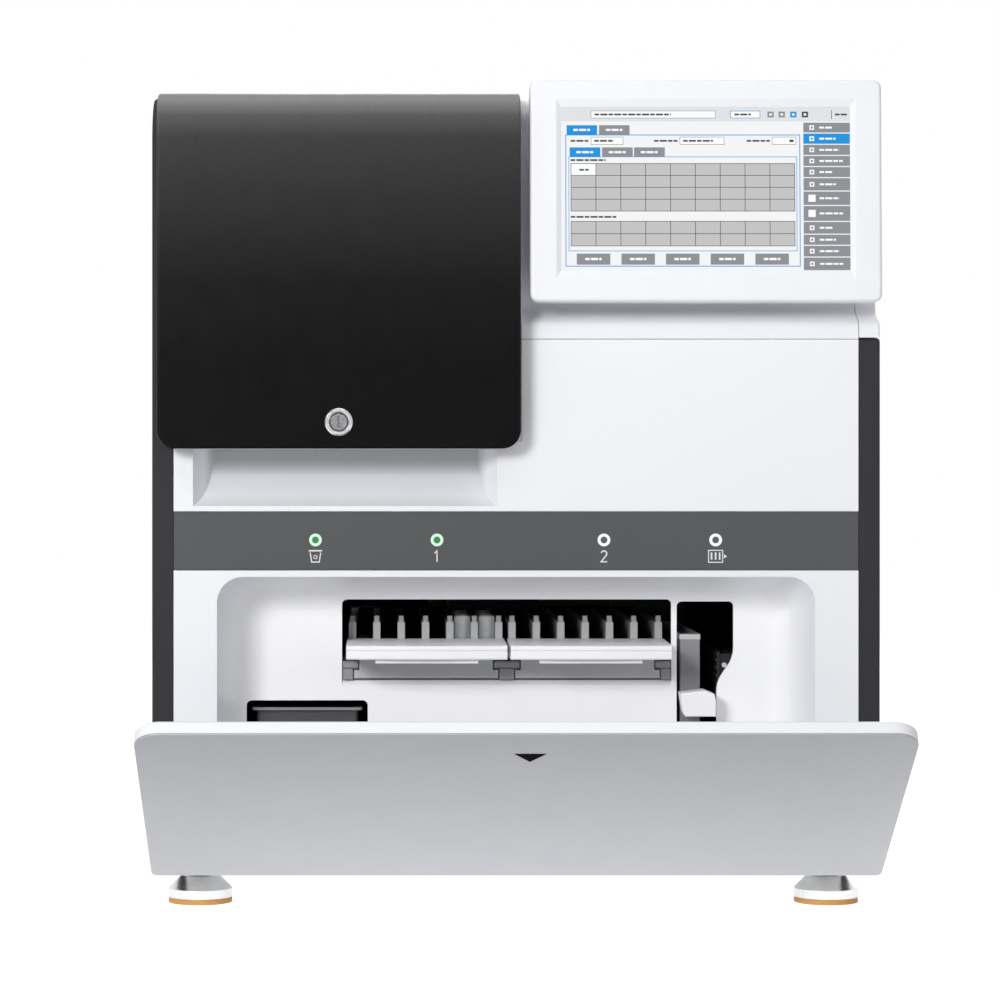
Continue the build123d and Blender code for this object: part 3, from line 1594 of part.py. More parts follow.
def display_bezel():
    """White display housing: rounded edges, a sunk sloping surround and a domed back."""
    half_thick = display_thick / 2
    face = RectangleRounded(display_width, display_height, display_corner)
    shell = through(face, (-half_thick, half_thick))
    shell = fillet(edges_at(shell, Axis.Y, -half_thick), 3.0)
    shell = chamfer(edges_at(shell, Axis.Y, half_thick), 5.0)
    screen = Pos(0, screen_rise) * Rectangle(screen_width, screen_height)
    outer_size = (screen_width + 2 * surround_side, screen_height + 2 * surround_height)
    surround = loft(
        [
            Plane.XZ.offset(half_thick) * Pos(0, screen_rise) * Rectangle(*outer_size),
            Plane.XZ.offset(half_thick - surround_depth) * screen,
        ]
    )
    shell -= surround
    glass_front = -half_thick + surround_depth
    shell -= through(screen, (glass_front - 0.5, glass_front + screen_thick))
    return display_place(shell)


def display_screen():
    """Glass panel of the touch screen."""
    front = -display_thick / 2 + surround_depth
    face = Rectangle(screen_width - 2 * screen_play, screen_height - 2 * screen_play)
    return display_place(through(Pos(0, screen_rise) * face, (front, front + screen_thick)))


def display_bracket():
    """Two eyes on the back of the display for its tilt pins."""
    eyes = []
    for side in (-1, 1):
        x = display_x + side * display_ear_x
        span = (x - cheek, x + cheek)
        eye = rod_x(span, display_pivot_y, display_pivot_z, eye_radius)
        eye += box(span, (0, display_pivot_y), (display_pivot_z - eye_radius, display_pivot_z + eye_radius))
        in_display = box((-display_width, display_width), (-display_height, display_thick / 2), (-99, 99))
        eye -= display_place(in_display)
        eye -= rod_x((x - 20, x + 20), display_pivot_y, display_pivot_z, pin_radius + pin_clearance)
        eyes.append(eye)
    return group(eyes)


def display_mount():
    """Clevis plates and pins on the set-back panel, behind the display."""
    pieces = []
    reach = 2 * cheek + side_play
    for side in (-1, 1):
        x = display_x + side * display_ear_x
        plate_z = (display_pivot_z - 16, display_pivot_z + 16)
        plate = box((x - reach, x + reach), (set_back - sheet, set_back), plate_z)
        for ear_side in (-1, 1):
            inner = x + ear_side * (cheek + side_play)
            outer = inner + ear_side * cheek
            span = sorted((inner, outer))
            plate += rod_x(span, display_pivot_y, display_pivot_z, eye_radius - 0.5)
            half = eye_radius - 0.5
            plate += box(span, (display_pivot_y, set_back), (display_pivot_z - half, display_pivot_z + half))
        plate -= rod_x((x - 30, x + 30), display_pivot_y, display_pivot_z, pin_radius)
        pieces.append(plate)
        pieces.append(rod_x((x - reach, x + reach), display_pivot_y, display_pivot_z, pin_radius))
    return group(pieces)


nodes = {
    "base_tray": base_tray(),
    "chassis": chassis(),
    "left_side_panel": left_side_panel(),
    "right_side_panel": right_side_panel(),
    "right_side_cap": right_side_cap(),
    "top_hood": top_hood(),
    "left_top_cover": left_top_cover(),
    "upper_fascia": upper_fascia(),
    "bay_frame": bay_frame(),
    "bay_tub": bay_tub(),
    "tip_box": tip_box(),
    "substrate_bottles": substrate_bottles(),
    "bottle_caps": bottle_caps(),
    "indicator_strip": indicator_strip(),
    "indicator_rings": indicator_rings(),
    "indicator_lenses": indicator_lenses(),
    "lower_fascia": lower_fascia(),
    "drawer_guide": reagent_rails(),
    "reagent_tray_1": reagent_tray(0),
    "reagent_tray_2": reagent_tray(1),
    "reagent_handle_1": reagent_handle(0),
    "reagent_handle_2": reagent_handle(1),
    "reagent_cartridges": reagent_cartridges(),
    "rack_lane": rack_lane(),
    "rack_body": rack_body(),
    "rack_cap": rack_cap(),
    "rack_handle": rack_handle(),
    "barcode_reader": barcode_reader(),
    "waste_bin": waste_bin(),
    "waste_shelf": waste_shelf(),
    "foot_pads": foot_pads(),
    "foot_bodies": foot_bodies(),
    "foot_studs": foot_studs(),
    "rear_panel": rear_panel(),
    "power_inlet": group([power_inlet(), switch_frame()]),
    "power_switch": power_switch(),
    "rear_ports": rear_ports(),
    "fan_frame": fan_frame(),
    "fan_impeller": fan_impeller(),
    "power_supply": power_supply(),
    "control_board": control_board(),
    "gantry": gantry(),
    "pipettor_carriage": pipettor_carriage(),
    "pipettor_head": pipettor_head(),
    "pipettor_probe": pipettor_probe(),
    "incubator_block": incubator_block(),
    "reader_housing": reader_housing(),
    "door_skin": door_skin(),
    "door_liner": door_liner(),
    "door_hinge_leaves": door_hinge_leaves(),
    "door_hinge_brackets": door_hinge_brackets(),
    "cover_shell": cover_shell(),
    "lock_ring": lock_ring(),
    "lock_cylinder": lock_cylinder(),
    "cover_hinge_arms": cover_hinge_arms(),
    "cover_hinge_brackets": cover_hinge_brackets(),
    "display_bezel": display_bezel(),
    "display_screen": display_screen(),
    "display_bracket": display_bracket(),
    "display_mount": display_mount(),
}

# The open door reaches furthest forward, so it sets where the middle of the footprint lies.
door_reach = -nodes["door_skin"].bounding_box().min.Y
front_plane_y = (door_reach - body_depth) / 2

os.makedirs("parts", exist_ok=True)
for name, piece in nodes.items():
    export_step(Pos(0, front_plane_y, 0) * piece, f"parts/{name}.step")
print("front plane at Y", round(front_plane_y, 4), "nodes", len(nodes))
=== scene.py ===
import json
import math

import bmesh
import bpy
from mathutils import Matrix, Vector


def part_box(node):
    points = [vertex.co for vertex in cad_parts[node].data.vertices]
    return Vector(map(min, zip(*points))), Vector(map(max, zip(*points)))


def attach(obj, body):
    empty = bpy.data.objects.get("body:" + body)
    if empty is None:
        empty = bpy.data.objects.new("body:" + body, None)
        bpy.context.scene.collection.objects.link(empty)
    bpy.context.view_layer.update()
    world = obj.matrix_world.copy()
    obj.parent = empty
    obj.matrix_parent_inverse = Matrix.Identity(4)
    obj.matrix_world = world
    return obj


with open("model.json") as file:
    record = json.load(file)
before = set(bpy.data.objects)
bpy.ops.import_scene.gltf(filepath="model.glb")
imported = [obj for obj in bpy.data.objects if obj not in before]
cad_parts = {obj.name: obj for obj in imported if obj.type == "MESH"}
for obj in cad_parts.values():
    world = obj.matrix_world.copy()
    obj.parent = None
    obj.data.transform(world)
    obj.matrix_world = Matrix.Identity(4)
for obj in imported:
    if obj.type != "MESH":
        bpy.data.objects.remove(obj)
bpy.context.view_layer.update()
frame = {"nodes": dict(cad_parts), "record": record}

MM = 0.001

# The front plane of the fascia, read from the indicator strip's front face.
front_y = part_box("indicator_strip")[0][1]


# Camera and light

def add_camera():
    """Level camera in front of the object, with the photograph's framing in its shift."""
    picture = 1000
    focal_pixels = 3250
    principal_x = 385
    principal_y = 460
    distance = 2.5
    camera_x = -0.1008
    camera_height = 0.347
    data = bpy.data.cameras.new("camera")
    data.sensor_width = 36
    data.lens = data.sensor_width * focal_pixels / picture
    data.shift_x = (picture / 2 - principal_x) / picture
    data.shift_y = (principal_y - picture / 2) / picture
    data.clip_end = 30
    camera = bpy.data.objects.new("camera", data)
    camera.location = (camera_x, front_y - distance, camera_height)
    camera.rotation_euler = (math.radians(90), 0, 0)
    bpy.context.collection.objects.link(camera)
    bpy.context.scene.camera = camera


def add_area(name, place, target, size, power):
    """Rectangular soft lamp at a place, turned to its target."""
    data = bpy.data.lights.new(name, "AREA")
    data.shape = "RECTANGLE"
    data.size, data.size_y = size
    data.energy = power
    lamp = bpy.data.objects.new(name, data)
    lamp.location = place
    aim = Vector(target) - Vector(place)
    lamp.rotation_euler = aim.to_track_quat("-Z", "Y").to_euler()
    bpy.context.collection.objects.link(lamp)


def add_lights():
    """Key from the left front, a wide strip above the front, and soft light from above and behind."""
    front = (0, -0.2, 0.35)
    add_area("key_light", (-1.4, -2.8, 1.25), front, (0.8, 0.8), 54)
    add_area("strip_light", (0.1, -1.3, 2.1), front, (2.6, 0.5), 6)
    add_area("fill_light", (1.6, -3.0, 0.8), front, (1.2, 1.2), 7)
    add_area("top_light", (0.0, 0.1, 2.5), (0, 0.1, 0.6), (1.6, 1.2), 9)
    add_area("rear_light", (0.8, 2.8, 1.6), (0, 0.2, 0.35), (2.4, 1.6), 26)


def mix_rays(nodes, links, seen, lit):
    """Shader that is one thing for the camera and for reflections, and another for the rest."""
    path = nodes.new("ShaderNodeLightPath")
    first = nodes.new("ShaderNodeMath")
    first.operation = "MAXIMUM"
    second = nodes.new("ShaderNodeMath")
    second.operation = "MAXIMUM"
    links.new(path.outputs["Is Camera Ray"], first.inputs[0])
    links.new(path.outputs["Is Transmission Ray"], first.inputs[1])
    links.new(first.outputs[0], second.inputs[0])
    links.new(path.outputs["Is Glossy Ray"], second.inputs[1])
    mix = nodes.new("ShaderNodeMixShader")
    links.new(second.outputs[0], mix.inputs[0])
    links.new(lit, mix.inputs[1])
    links.new(seen, mix.inputs[2])
    return mix.outputs[0]


def add_world():
    """White surroundings for the camera and reflections, with a lower level of light from them."""
    world = bpy.data.worlds.new("studio")
    bpy.context.scene.world = world
    world.use_nodes = True
    nodes, links = world.node_tree.nodes, world.node_tree.links
    nodes.clear()
    seen = nodes.new("ShaderNodeBackground")
    seen.inputs["Color"].default_value = (1, 1, 1, 1)
    seen.inputs["Strength"].default_value = 1.0
    lit = nodes.new("ShaderNodeBackground")
    lit.inputs["Color"].default_value = (1, 1, 1, 1)
    lit.inputs["Strength"].default_value = 0.26
    out = nodes.new("ShaderNodeOutputWorld")
    links.new(mix_rays(nodes, links, seen.outputs[0], lit.outputs[0]), out.inputs["Surface"])


def add_floor():
    """Pale floor whose colour is white and which keeps the object's shadow."""
    mesh = bpy.data.meshes.new("floor")
    half = 6.0
    below_feet = 0.2 * MM
    corners = [(-half, -half, 0), (half, -half, 0), (half, half, 0), (-half, half, 0)]
    mesh.from_pydata(corners, [], [(0, 1, 2, 3)])
    floor = bpy.data.objects.new("floor", mesh)
    floor.location = (0, 0, -below_feet)
    bpy.context.collection.objects.link(floor)
    made = bpy.data.materials.new("floor")
    made.use_nodes = True
    nodes, links = made.node_tree.nodes, made.node_tree.links
    nodes.clear()
    diffuse = nodes.new("ShaderNodeBsdfDiffuse")
    diffuse.inputs["Color"].default_value = (0.88, 0.88, 0.88, 1)
    glow = nodes.new("ShaderNodeEmission")
    glow.inputs["Color"].default_value = (1, 1, 1, 1)
    glow.inputs["Strength"].default_value = 0.78
    both = nodes.new("ShaderNodeAddShader")
    links.new(diffuse.outputs[0], both.inputs[0])
    links.new(glow.outputs[0], both.inputs[1])
    out = nodes.new("ShaderNodeOutputMaterial")
    links.new(mix_rays(nodes, links, both.outputs[0], diffuse.outputs[0]), out.inputs["Surface"])
    mesh.materials.append(made)


# Materials

def srgb(code):
    """Linear colour of a hexadecimal screen colour."""
    values = [int(code[i : i + 2], 16) / 255 for i in (0, 2, 4)]
    return tuple(v / 12.92 if v <= 0.04045 else ((v + 0.055) / 1.055) ** 2.4 for v in values)


class Finish:
    """Node material around one Principled shader, in metres of the object's own space."""

    edge_round = 0.5 * MM

    def __init__(self, name, colour, roughness, metallic=0.0, **sockets):
        self.material = bpy.data.materials.new(name)
        self.material.use_nodes = True
        self.nodes = self.material.node_tree.nodes
        self.links = self.material.node_tree.links
        self.shader = self.nodes["Principled BSDF"]
        self.shader.inputs["Base Color"].default_value = (*colour, 1)
        self.shader.inputs["Roughness"].default_value = roughness
        self.shader.inputs["Metallic"].default_value = metallic
        for socket, value in sockets.items():
            self.shader.inputs[socket.replace("_", " ")].default_value = value
        self.colour = colour
        self.roughness = roughness
        self.place = self.nodes.new("ShaderNodeTexCoord").outputs["Object"]
        soft_edge = self.nodes.new("ShaderNodeBevel")
        soft_edge.samples = 3
        soft_edge.inputs["Radius"].default_value = self.edge_round
        self.height = soft_edge.outputs["Normal"]

    def noise(self, scale, detail=3.0, stretch=(1, 1, 1)):
        """Noise of about 1/scale metres, stretched along the axes."""
        mapping = self.nodes.new("ShaderNodeMapping")
        mapping.inputs["Scale"].default_value = stretch
        self.links.new(self.place, mapping.inputs["Vector"])
        texture = self.nodes.new("ShaderNodeTexNoise")
        texture.inputs["Scale"].default_value = scale
        texture.inputs["Detail"].default_value = detail
        self.links.new(mapping.outputs[0], texture.inputs["Vector"])
        return texture.outputs["Fac"]

    def remap(self, value, low, high, start=0.3, end=0.7):
        """Value from low to high, as the given one goes from start to end."""
        node = self.nodes.new("ShaderNodeMapRange")
        node.inputs["From Min"].default_value = start
        node.inputs["From Max"].default_value = end
        node.inputs["To Min"].default_value = low
        node.inputs["To Max"].default_value = high
        self.links.new(value, node.inputs["Value"])
        return node.outputs["Result"]

    def shade(self, value, amount, socket="Base Color", colour=None):
        """Varies a colour by up to the amount each way."""
        colour = colour or self.colour
        ramp = self.nodes.new("ShaderNodeMix")
        ramp.data_type = "RGBA"
        darker = [c * (1 - amount) for c in colour]
        lighter = [min(1.0, c * (1 + amount)) for c in colour]
        ramp.inputs["A"].default_value = (*darker, 1)
        ramp.inputs["B"].default_value = (*lighter, 1)
        self.links.new(self.remap(value, 0, 1), ramp.inputs["Factor"])
        self.links.new(ramp.outputs["Result"], self.shader.inputs[socket])
        return self

    def gradient(self, axis, low, high, stops, socket="Base Color", speck=0.03):
        """Colour that follows the stops from low to high along the object's own axis."""
        split = self.nodes.new("ShaderNodeSeparateXYZ")
        self.links.new(self.place, split.inputs[0])
        ramp = self.nodes.new("ShaderNodeValToRGB")
        while len(ramp.color_ramp.elements) < len(stops):
            ramp.color_ramp.elements.new(0.5)
        for element, (position, colour) in zip(ramp.color_ramp.elements, stops):
            element.position = position
            element.color = (*colour, 1)
        self.links.new(self.remap(split.outputs[axis], 0, 1, low, high), ramp.inputs["Fac"])
        grain = self.nodes.new("ShaderNodeMix")
        grain.data_type = "RGBA"
        grain.blend_type = "MULTIPLY"
        grain.inputs["Factor"].default_value = 1.0
        self.links.new(ramp.outputs["Color"], grain.inputs["A"])
        self.links.new(self.remap(self.noise(700.0, 2.0), 1 - speck, 1 + speck), grain.inputs["B"])
        self.links.new(grain.outputs["Result"], self.shader.inputs[socket])
        return self

    def polish(self, value, amount):
        """Varies the roughness by up to the amount each way."""
        spread = self.remap(value, max(0.02, self.roughness - amount), self.roughness + amount)
        self.links.new(spread, self.shader.inputs["Roughness"])
        return self

    def relief(self, value, depth, strength=1.0):
        """Adds a bump of that depth in metres, on top of any before it."""
        bump = self.nodes.new("ShaderNodeBump")
        bump.inputs["Strength"].default_value = strength
        bump.inputs["Distance"].default_value = depth
        self.links.new(value, bump.inputs["Height"])
        self.links.new(self.height, bump.inputs["Normal"])
        self.links.new(bump.outputs["Normal"], self.shader.inputs["Normal"])
        self.height = bump.outputs["Normal"]
        return self


def moulded(name, colour, roughness, grain=2200.0, grain_depth=0.00002, **sockets):
    """Moulded plastic: a fine spark-eroded grain, slow waviness and handled patches."""
    made = Finish(name, colour, roughness, **sockets)
    made.shade(made.noise(9.0, 2.0), 0.012)
    made.polish(made.noise(26.0, 4.0), 0.05)
    made.relief(made.noise(grain, 2.0), grain_depth, 0.35)
    made.relief(made.noise(7.0, 1.0), 0.0006, 0.05)
    return made


def painted(name, colour, roughness, metallic=0.0, speck=0.03, **sockets):
    """Sprayed paint with orange peel and fine specks."""
    made = Finish(name, colour, roughness, metallic, **sockets)
    made.shade(made.noise(1500.0, 1.0), speck)
    made.polish(made.noise(40.0, 3.0), 0.04)
    made.relief(made.noise(650.0, 2.0), 0.00004, 0.4)
    return made


def metal(name, colour, roughness, stretch=(1, 1, 1), scale=900.0):
    """Bare metal with drawn or turned marks along the unstretched axis."""
    made = Finish(name, colour, roughness, 1.0)
    marks = made.noise(scale, 3.0, stretch)
    made.shade(marks, 0.06)
    made.polish(marks, 0.06)
    made.relief(marks, 0.00003, 0.3)
    return made


def clear(name, colour, roughness, alpha):
    """See-through plastic with slight flow marks."""
    made = Finish(name, colour, roughness, Alpha=alpha)
    made.shade(made.noise(60.0, 2.0), 0.06)
    made.polish(made.noise(120.0, 3.0), 0.03)
    made.relief(made.noise(90.0, 2.0), 0.0001, 0.12)
    return made


def glowing(name, colour):
    """Lit surface under smooth plastic or glass, with a faint pixel grain."""
    made = Finish(name, (0.004, 0.004, 0.004), 0.22, Specular_IOR_Level=0.2)
    made.shade(made.noise(3200.0, 1.0), 0.015, "Emission Color", colour)
    made.shader.inputs["Emission Strength"].default_value = 1.0
    made.polish(made.noise(30.0, 2.0), 0.03)
    return made


def black_cover():
    """Black moulded cover with a painted highlight: its colour pales towards its rounded top, where the
    light above would shine on it.
    """
    made = painted("black_cover", srgb("0B0B0C"), 0.3, 0.0, 0.1, Specular_IOR_Level=0.08)
    low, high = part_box("cover_shell")
    # Painted highlight: the grey stops near the top stand in for the light's reflection on the rounding.
    stops = [
        (0.0, srgb("050505")),
        (0.23, srgb("060606")),
        (0.46, srgb("121212")),
        (0.70, srgb("2B2B2C")),
        (0.87, srgb("3A3A3B")),
        (0.93, srgb("545455")),
        (0.98, srgb("828283")),
    ]
    return made.gradient("Z", low[2], high[2], stops)


def silver_door():
    """Silver paint with painted shade: a little darker towards the door's free edge, which is farther from
    the light off the floor.
    """
    made = painted("silver_door", srgb("C4C5C9"), 0.42, 0.3, 0.04)
    low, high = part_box("door_skin")
    # Painted shade: the colour darkens from the hinge side to the free edge.
    return made.gradient("Z", low[2], high[2], [(0.0, srgb("D3D4D8")), (1.0, srgb("A3A4A8"))])


def scoop_painted_shade():
    """White fascia with painted shade in its scoop: darker towards the scoop's deep end."""
    made = moulded("scoop_painted_shade", srgb("EEEFF3"), 0.42, Specular_IOR_Level=0.35)
    scoop_deep = 27 * MM
    # Painted shade: the colour greys with depth into the scoop.
    stops = [
        (0.0, srgb("EEEFF3")),
        (0.5, srgb("EEEFF3")),
        (0.85, srgb("CFD0D4")),
        (1.0, srgb("848588")),
    ]
    return made.gradient("Y", front_y, front_y + scoop_deep, stops, speck=0.008)


def bay_painted_light():
    """White fascia with painted light: palest at the back of its loading recess."""
    made = moulded("bay_painted_light", srgb("EEEFF3"), 0.42, Specular_IOR_Level=0.35)
    recess_deep = 50 * MM
    # Painted light: the colour brightens with depth into the recess.
    stops = [(0.0, srgb("EEEFF3")), (0.2, srgb("EEEFF3")), (1.0, srgb("FAFAFC"))]
    return made.gradient("Y", front_y, front_y + recess_deep, stops, speck=0.008)


def rack_grey():
    """Grey rack with painted shade: darker towards its bottom, paler towards its top."""
    made = moulded("rack_grey", srgb("86878A"), 0.4)
    low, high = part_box("rack_body")
    # Painted shade: the colour darkens from the top of the rack to its bottom.
    return made.gradient("Z", low[2], high[2], [(0.0, srgb("5E5F62")), (1.0, srgb("86878B"))])


def smoky_plastic():
    """Smoky bin wall with a painted highlight along its rim."""
    made = clear("smoky_plastic", (0.1, 0.1, 0.105), 0.16, 0.9)
    low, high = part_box("waste_bin")
    # Painted highlight: a pale band along the top edge of the bin.
    highlight_tall = 1.6 * MM
    highlight_start = 1 - highlight_tall / (high[2] - low[2])
    stops = [(0.0, (0.085, 0.085, 0.09)), (highlight_start - 0.01, (0.085, 0.085, 0.09)), (highlight_start, (0.3, 0.3, 0.31))]
    return made.gradient("Z", low[2], high[2], stops)


def beside_middle(name, left, right, glow):
    """Two colours, one on each side of the object's middle plane, which glow or don't."""
    made = Finish(name, left, 0.3)
    stops = [(0.0, left), (1.0, right)]
    socket = "Emission Color" if glow else "Base Color"
    made.gradient("X", -MM, MM, stops, socket, 0.02)
    if glow:
        made.shader.inputs["Base Color"].default_value = (0.05, 0.05, 0.05, 1)
        made.shader.inputs["Emission Strength"].default_value = glow
    made.relief(made.noise(1800.0, 2.0), 0.00002, 0.3)
    return made


finishes = {
    "white_cover": moulded("white_cover", srgb("EEEFF3"), 0.42, Specular_IOR_Level=0.35),
    "scoop_painted_shade": scoop_painted_shade(),
    "bay_painted_light": bay_painted_light(),
    "pull_white": moulded("pull_white", srgb("F8F8FA"), 0.4, Specular_IOR_Level=0.35),
    "white_door": moulded("white_door", srgb("ECEDF0"), 0.4, Specular_IOR_Level=0.3),
    "silver_door": silver_door(),
    "black_cover": black_cover(),
    "side_grey": painted("side_grey", srgb("353537"), 0.6, Specular_IOR_Level=0.1),
    "strip_grey": moulded("strip_grey", srgb("535456"), 0.5, Specular_IOR_Level=0.2),
    "steel": metal("steel", (0.58, 0.585, 0.59), 0.36, (1, 0.08, 1)),
    "aluminium": metal("aluminium", (0.78, 0.785, 0.79), 0.32, (0.05, 0.05, 1), 1400.0),
    "chrome": metal("chrome", (0.6, 0.6, 0.61), 0.16, (1, 1, 1), 300.0),
    "plug_chrome": metal("plug_chrome", (0.26, 0.26, 0.27), 0.25, (1, 1, 1), 500.0),
    "drawer_grey": moulded("drawer_grey", srgb("B2B3B5"), 0.46),
    "guide_grey": moulded("guide_grey", srgb("8E8F91"), 0.5),
    "rack_grey": rack_grey(),
    "dark_plastic": moulded("dark_plastic", srgb("1C1C1D"), 0.5, Specular_IOR_Level=0.25),
    "lane_black": moulded("lane_black", srgb("262627"), 0.5, Specular_IOR_Level=0.2),
    # Painted shade: near black stands in for the shade inside the body.
    "interior_painted_shade": painted("interior_painted_shade", srgb("161617"), 0.6, Specular_IOR_Level=0.15),
    "cap_light": moulded("cap_light", srgb("C2C3C5"), 0.4),
    "clear_plastic": clear("clear_plastic", (0.85, 0.87, 0.88), 0.08, 0.28),
    "smoky_plastic": smoky_plastic(),
    "pad_rubber": moulded("pad_rubber", srgb("DDA35A"), 0.55, 900.0, 0.00006),
    "screen": glowing("screen", srgb("F1F3F5")),
    "ring_light": beside_middle("ring_light", srgb("CFF5D8"), srgb("F4F5F7"), 0.95),
    "lens_dark": beside_middle("lens_dark", srgb("2F7D4A"), srgb("4B4C4E"), 0.0),
    "circuit_green": painted("circuit_green", (0.02, 0.13, 0.06), 0.35),
    "bottle_white": moulded("bottle_white", srgb("E6E5DF"), 0.42),
    "cap_blue": moulded("cap_blue", (0.03, 0.17, 0.45), 0.4),
    "tip_blue": moulded("tip_blue", (0.15, 0.36, 0.56), 0.36),
    "print_white": moulded("print_white", srgb("E9EAEC"), 0.5),
    "print_black": moulded("print_black", srgb("090909"), 0.7, Specular_IOR_Level=0.03),
    "tile_blue": glowing("tile_blue", srgb("0A90DC")),
    "tile_grey": glowing("tile_grey", srgb("8D8E93")),
    "tile_cell": glowing("tile_cell", srgb("C2C2C2")),
    "tile_frame": glowing("tile_frame", srgb("4A4A4A")),
    "tile_white": glowing("tile_white", srgb("FAFBFC")),
    "tile_header": glowing("tile_header", srgb("DFE1E4")),
    "tile_paper": glowing("tile_paper", srgb("F1F3F5")),
}

special = {
    "upper_fascia": "scoop_painted_shade",
    "lower_fascia": "bay_painted_light",
    "reagent_handle_1": "pull_white",
    "reagent_handle_2": "pull_white",
    "rack_handle": "pull_white",
    "door_liner": "white_door",
    "drawer_guide": "guide_grey",
    "rack_cap": "cap_light",
    "rack_lane": "lane_black",
    "indicator_rings": "ring_light",
    "indicator_lenses": "lens_dark",
    "lock_cylinder": "plug_chrome",
    # The parts inside the body take near black, painted shade, in place of their own finish.
    "incubator_block": "interior_painted_shade",
    "chassis": "interior_painted_shade",
    "gantry": "interior_painted_shade",
    "waste_shelf": "interior_painted_shade",
}


def dress_nodes():
    """Gives each CAD node the finish of its slot, or its own."""
    for part in frame["record"]["subparts"]:
        chosen = finishes[special.get(part["node"], part["material_slot"])]
        for place in frame["nodes"][part["node"]].material_slots:
            place.material = chosen.material


# Flat marks

class Face:
    """Widest flat face of a node towards a direction, with its own up direction."""

    facing_least = 0.9

    def __init__(self, node, toward, start):
        mesh = frame["nodes"][node].data
        toward = Vector(toward).normalized()
        facing = [polygon for polygon in mesh.polygons if polygon.normal.dot(toward) > self.facing_least]
        widest = max(facing, key=lambda polygon: polygon.area)
        corners = [mesh.vertices[index].co.copy() for index in widest.vertices]
        self.out = widest.normal.copy()
        self.up = self.out.cross(Vector((1, 0, 0))).normalized()
        self.left = min(corner.x for corner in corners)
        self.right = max(corner.x for corner in corners)
        lowest = min(corners, key=lambda corner: corner.dot(self.up))
        highest = max(corners, key=lambda corner: corner.dot(self.up))
        self.tall = (highest - lowest).dot(self.up)
        start = lowest if start is None else Vector(start)
        self.start = start + self.out * (lowest - start).dot(self.out)

    def point(self, x, height, rise):
        """Place at that X, that far up the face from its start and that far out of it."""
        place = self.start + self.up * height + self.out * rise
        return Vector((x, place.y, place.z))


class Marks:
    """Thin closed plates that stand on a face, in one piece."""

    sunk = 0.03 * MM

    def __init__(self, face):
        self.face = face
        self.plates = []

    def plate(self, outline, rise=0.12 * MM):
        """Flat shape with an outline of X and height."""
        self.plates.append((outline, rise))

    def rectangle(self, left, low, right, high, rise=0.12 * MM):
        self.plate([(left, low), (right, low), (right, high), (left, high)], rise)

    def line(self, points, width, closed=False):
        """Line of one width along the points, with mitred corners."""
        count = len(points)
        sides = []
        for index, point in enumerate(points):
            before = points[(index - 1) % count] if closed or index else None
            after = points[(index + 1) % count] if closed or index < count - 1 else None
            here = Vector(point)
            steps = []
            if before:
                steps.append((here - Vector(before)).normalized())
            if after:
                steps.append((Vector(after) - here).normalized())
            along = sum(steps, Vector((0, 0))).normalized()
            across = Vector((-along.y, along.x)) * (width / 2 / max(0.5, along.dot(steps[0])))
            sides.append((here + across, here - across))
        last = count if closed else count - 1
        for index in range(last):
            one, two = sides[index], sides[(index + 1) % count]
            self.plate([tuple(one[0]), tuple(one[1]), tuple(two[1]), tuple(two[0])])

    def ring(self, x, height, radius, width, parts=20):
        """Round line about a middle."""
        turns = [math.tau * part / parts for part in range(parts)]
        points = [(x + radius * math.cos(turn), height + radius * math.sin(turn)) for turn in turns]
        self.line(points, width, closed=True)

    def make(self, name, finish, body, slot):
        """Joins the plates in one piece that rides on the body."""
        shape = bmesh.new()
        for outline, rise in self.plates:
            low = [shape.verts.new(self.face.point(x, height, -self.sunk)) for x, height in outline]
            top = [shape.verts.new(self.face.point(x, height, rise)) for x, height in outline]
            shape.faces.new(top)
            shape.faces.new(low[::-1])
            for index in range(len(outline)):
                after = (index + 1) % len(outline)
                shape.faces.new((low[index], low[after], top[after], top[index]))
        bmesh.ops.recalc_face_normals(shape, faces=shape.faces)
        add_piece(name, shape, finish, body)


def add_piece(name, shape, finish, body):
    """Turns the bmesh into a piece that rides on a body."""
    mesh = bpy.data.meshes.new(name)
    shape.to_mesh(mesh)
    shape.free()
    mesh.materials.append(finishes[finish].material)
    piece = bpy.data.objects.new(name, mesh)
    bpy.context.collection.objects.link(piece)
    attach(piece, body)


# Marks on the indicator strip

sign_line = 1.1 * MM


def ring_places():
    """Middle of each indicator ring along X, from the gaps between the lens parts' vertices."""
    gap_least = 20 * MM
    places = []
    for vertex in sorted(frame["nodes"]["indicator_lenses"].data.vertices, key=lambda v: v.co.x):
        if not places or vertex.co.x - places[-1][1] > gap_least:
            places.append([vertex.co.x, vertex.co.x])
        places[-1][1] = vertex.co.x
    return [(low + high) / 2 for low, high in places]


def bin_sign(marks, x, middle):
    """Open bin under its lid, with a ring on its wall."""
    lid_half = 5.2 * MM
    body_top_half = 4.1 * MM
    body_low_half = 2.9 * MM
    lid_height = middle + 4.3 * MM
    wall_top = middle + 3.0 * MM
    wall_low = middle - 4.4 * MM
    marks.line([(x - lid_half, lid_height), (x + lid_half, lid_height)], sign_line)
    wall = [
        (x - body_top_half, wall_top),
        (x - body_low_half, wall_low),
        (x + body_low_half, wall_low),
        (x + body_top_half, wall_top),
    ]
    marks.line(wall, 0.9 * MM)
    marks.ring(x, middle - 0.6 * MM, 1.3 * MM, 0.7 * MM)


def digit_one(marks, x, middle):
    half = 4.2 * MM
    flag = 1.9 * MM
    marks.line([(x - flag, middle + half - flag), (x, middle + half), (x, middle - half)], sign_line)


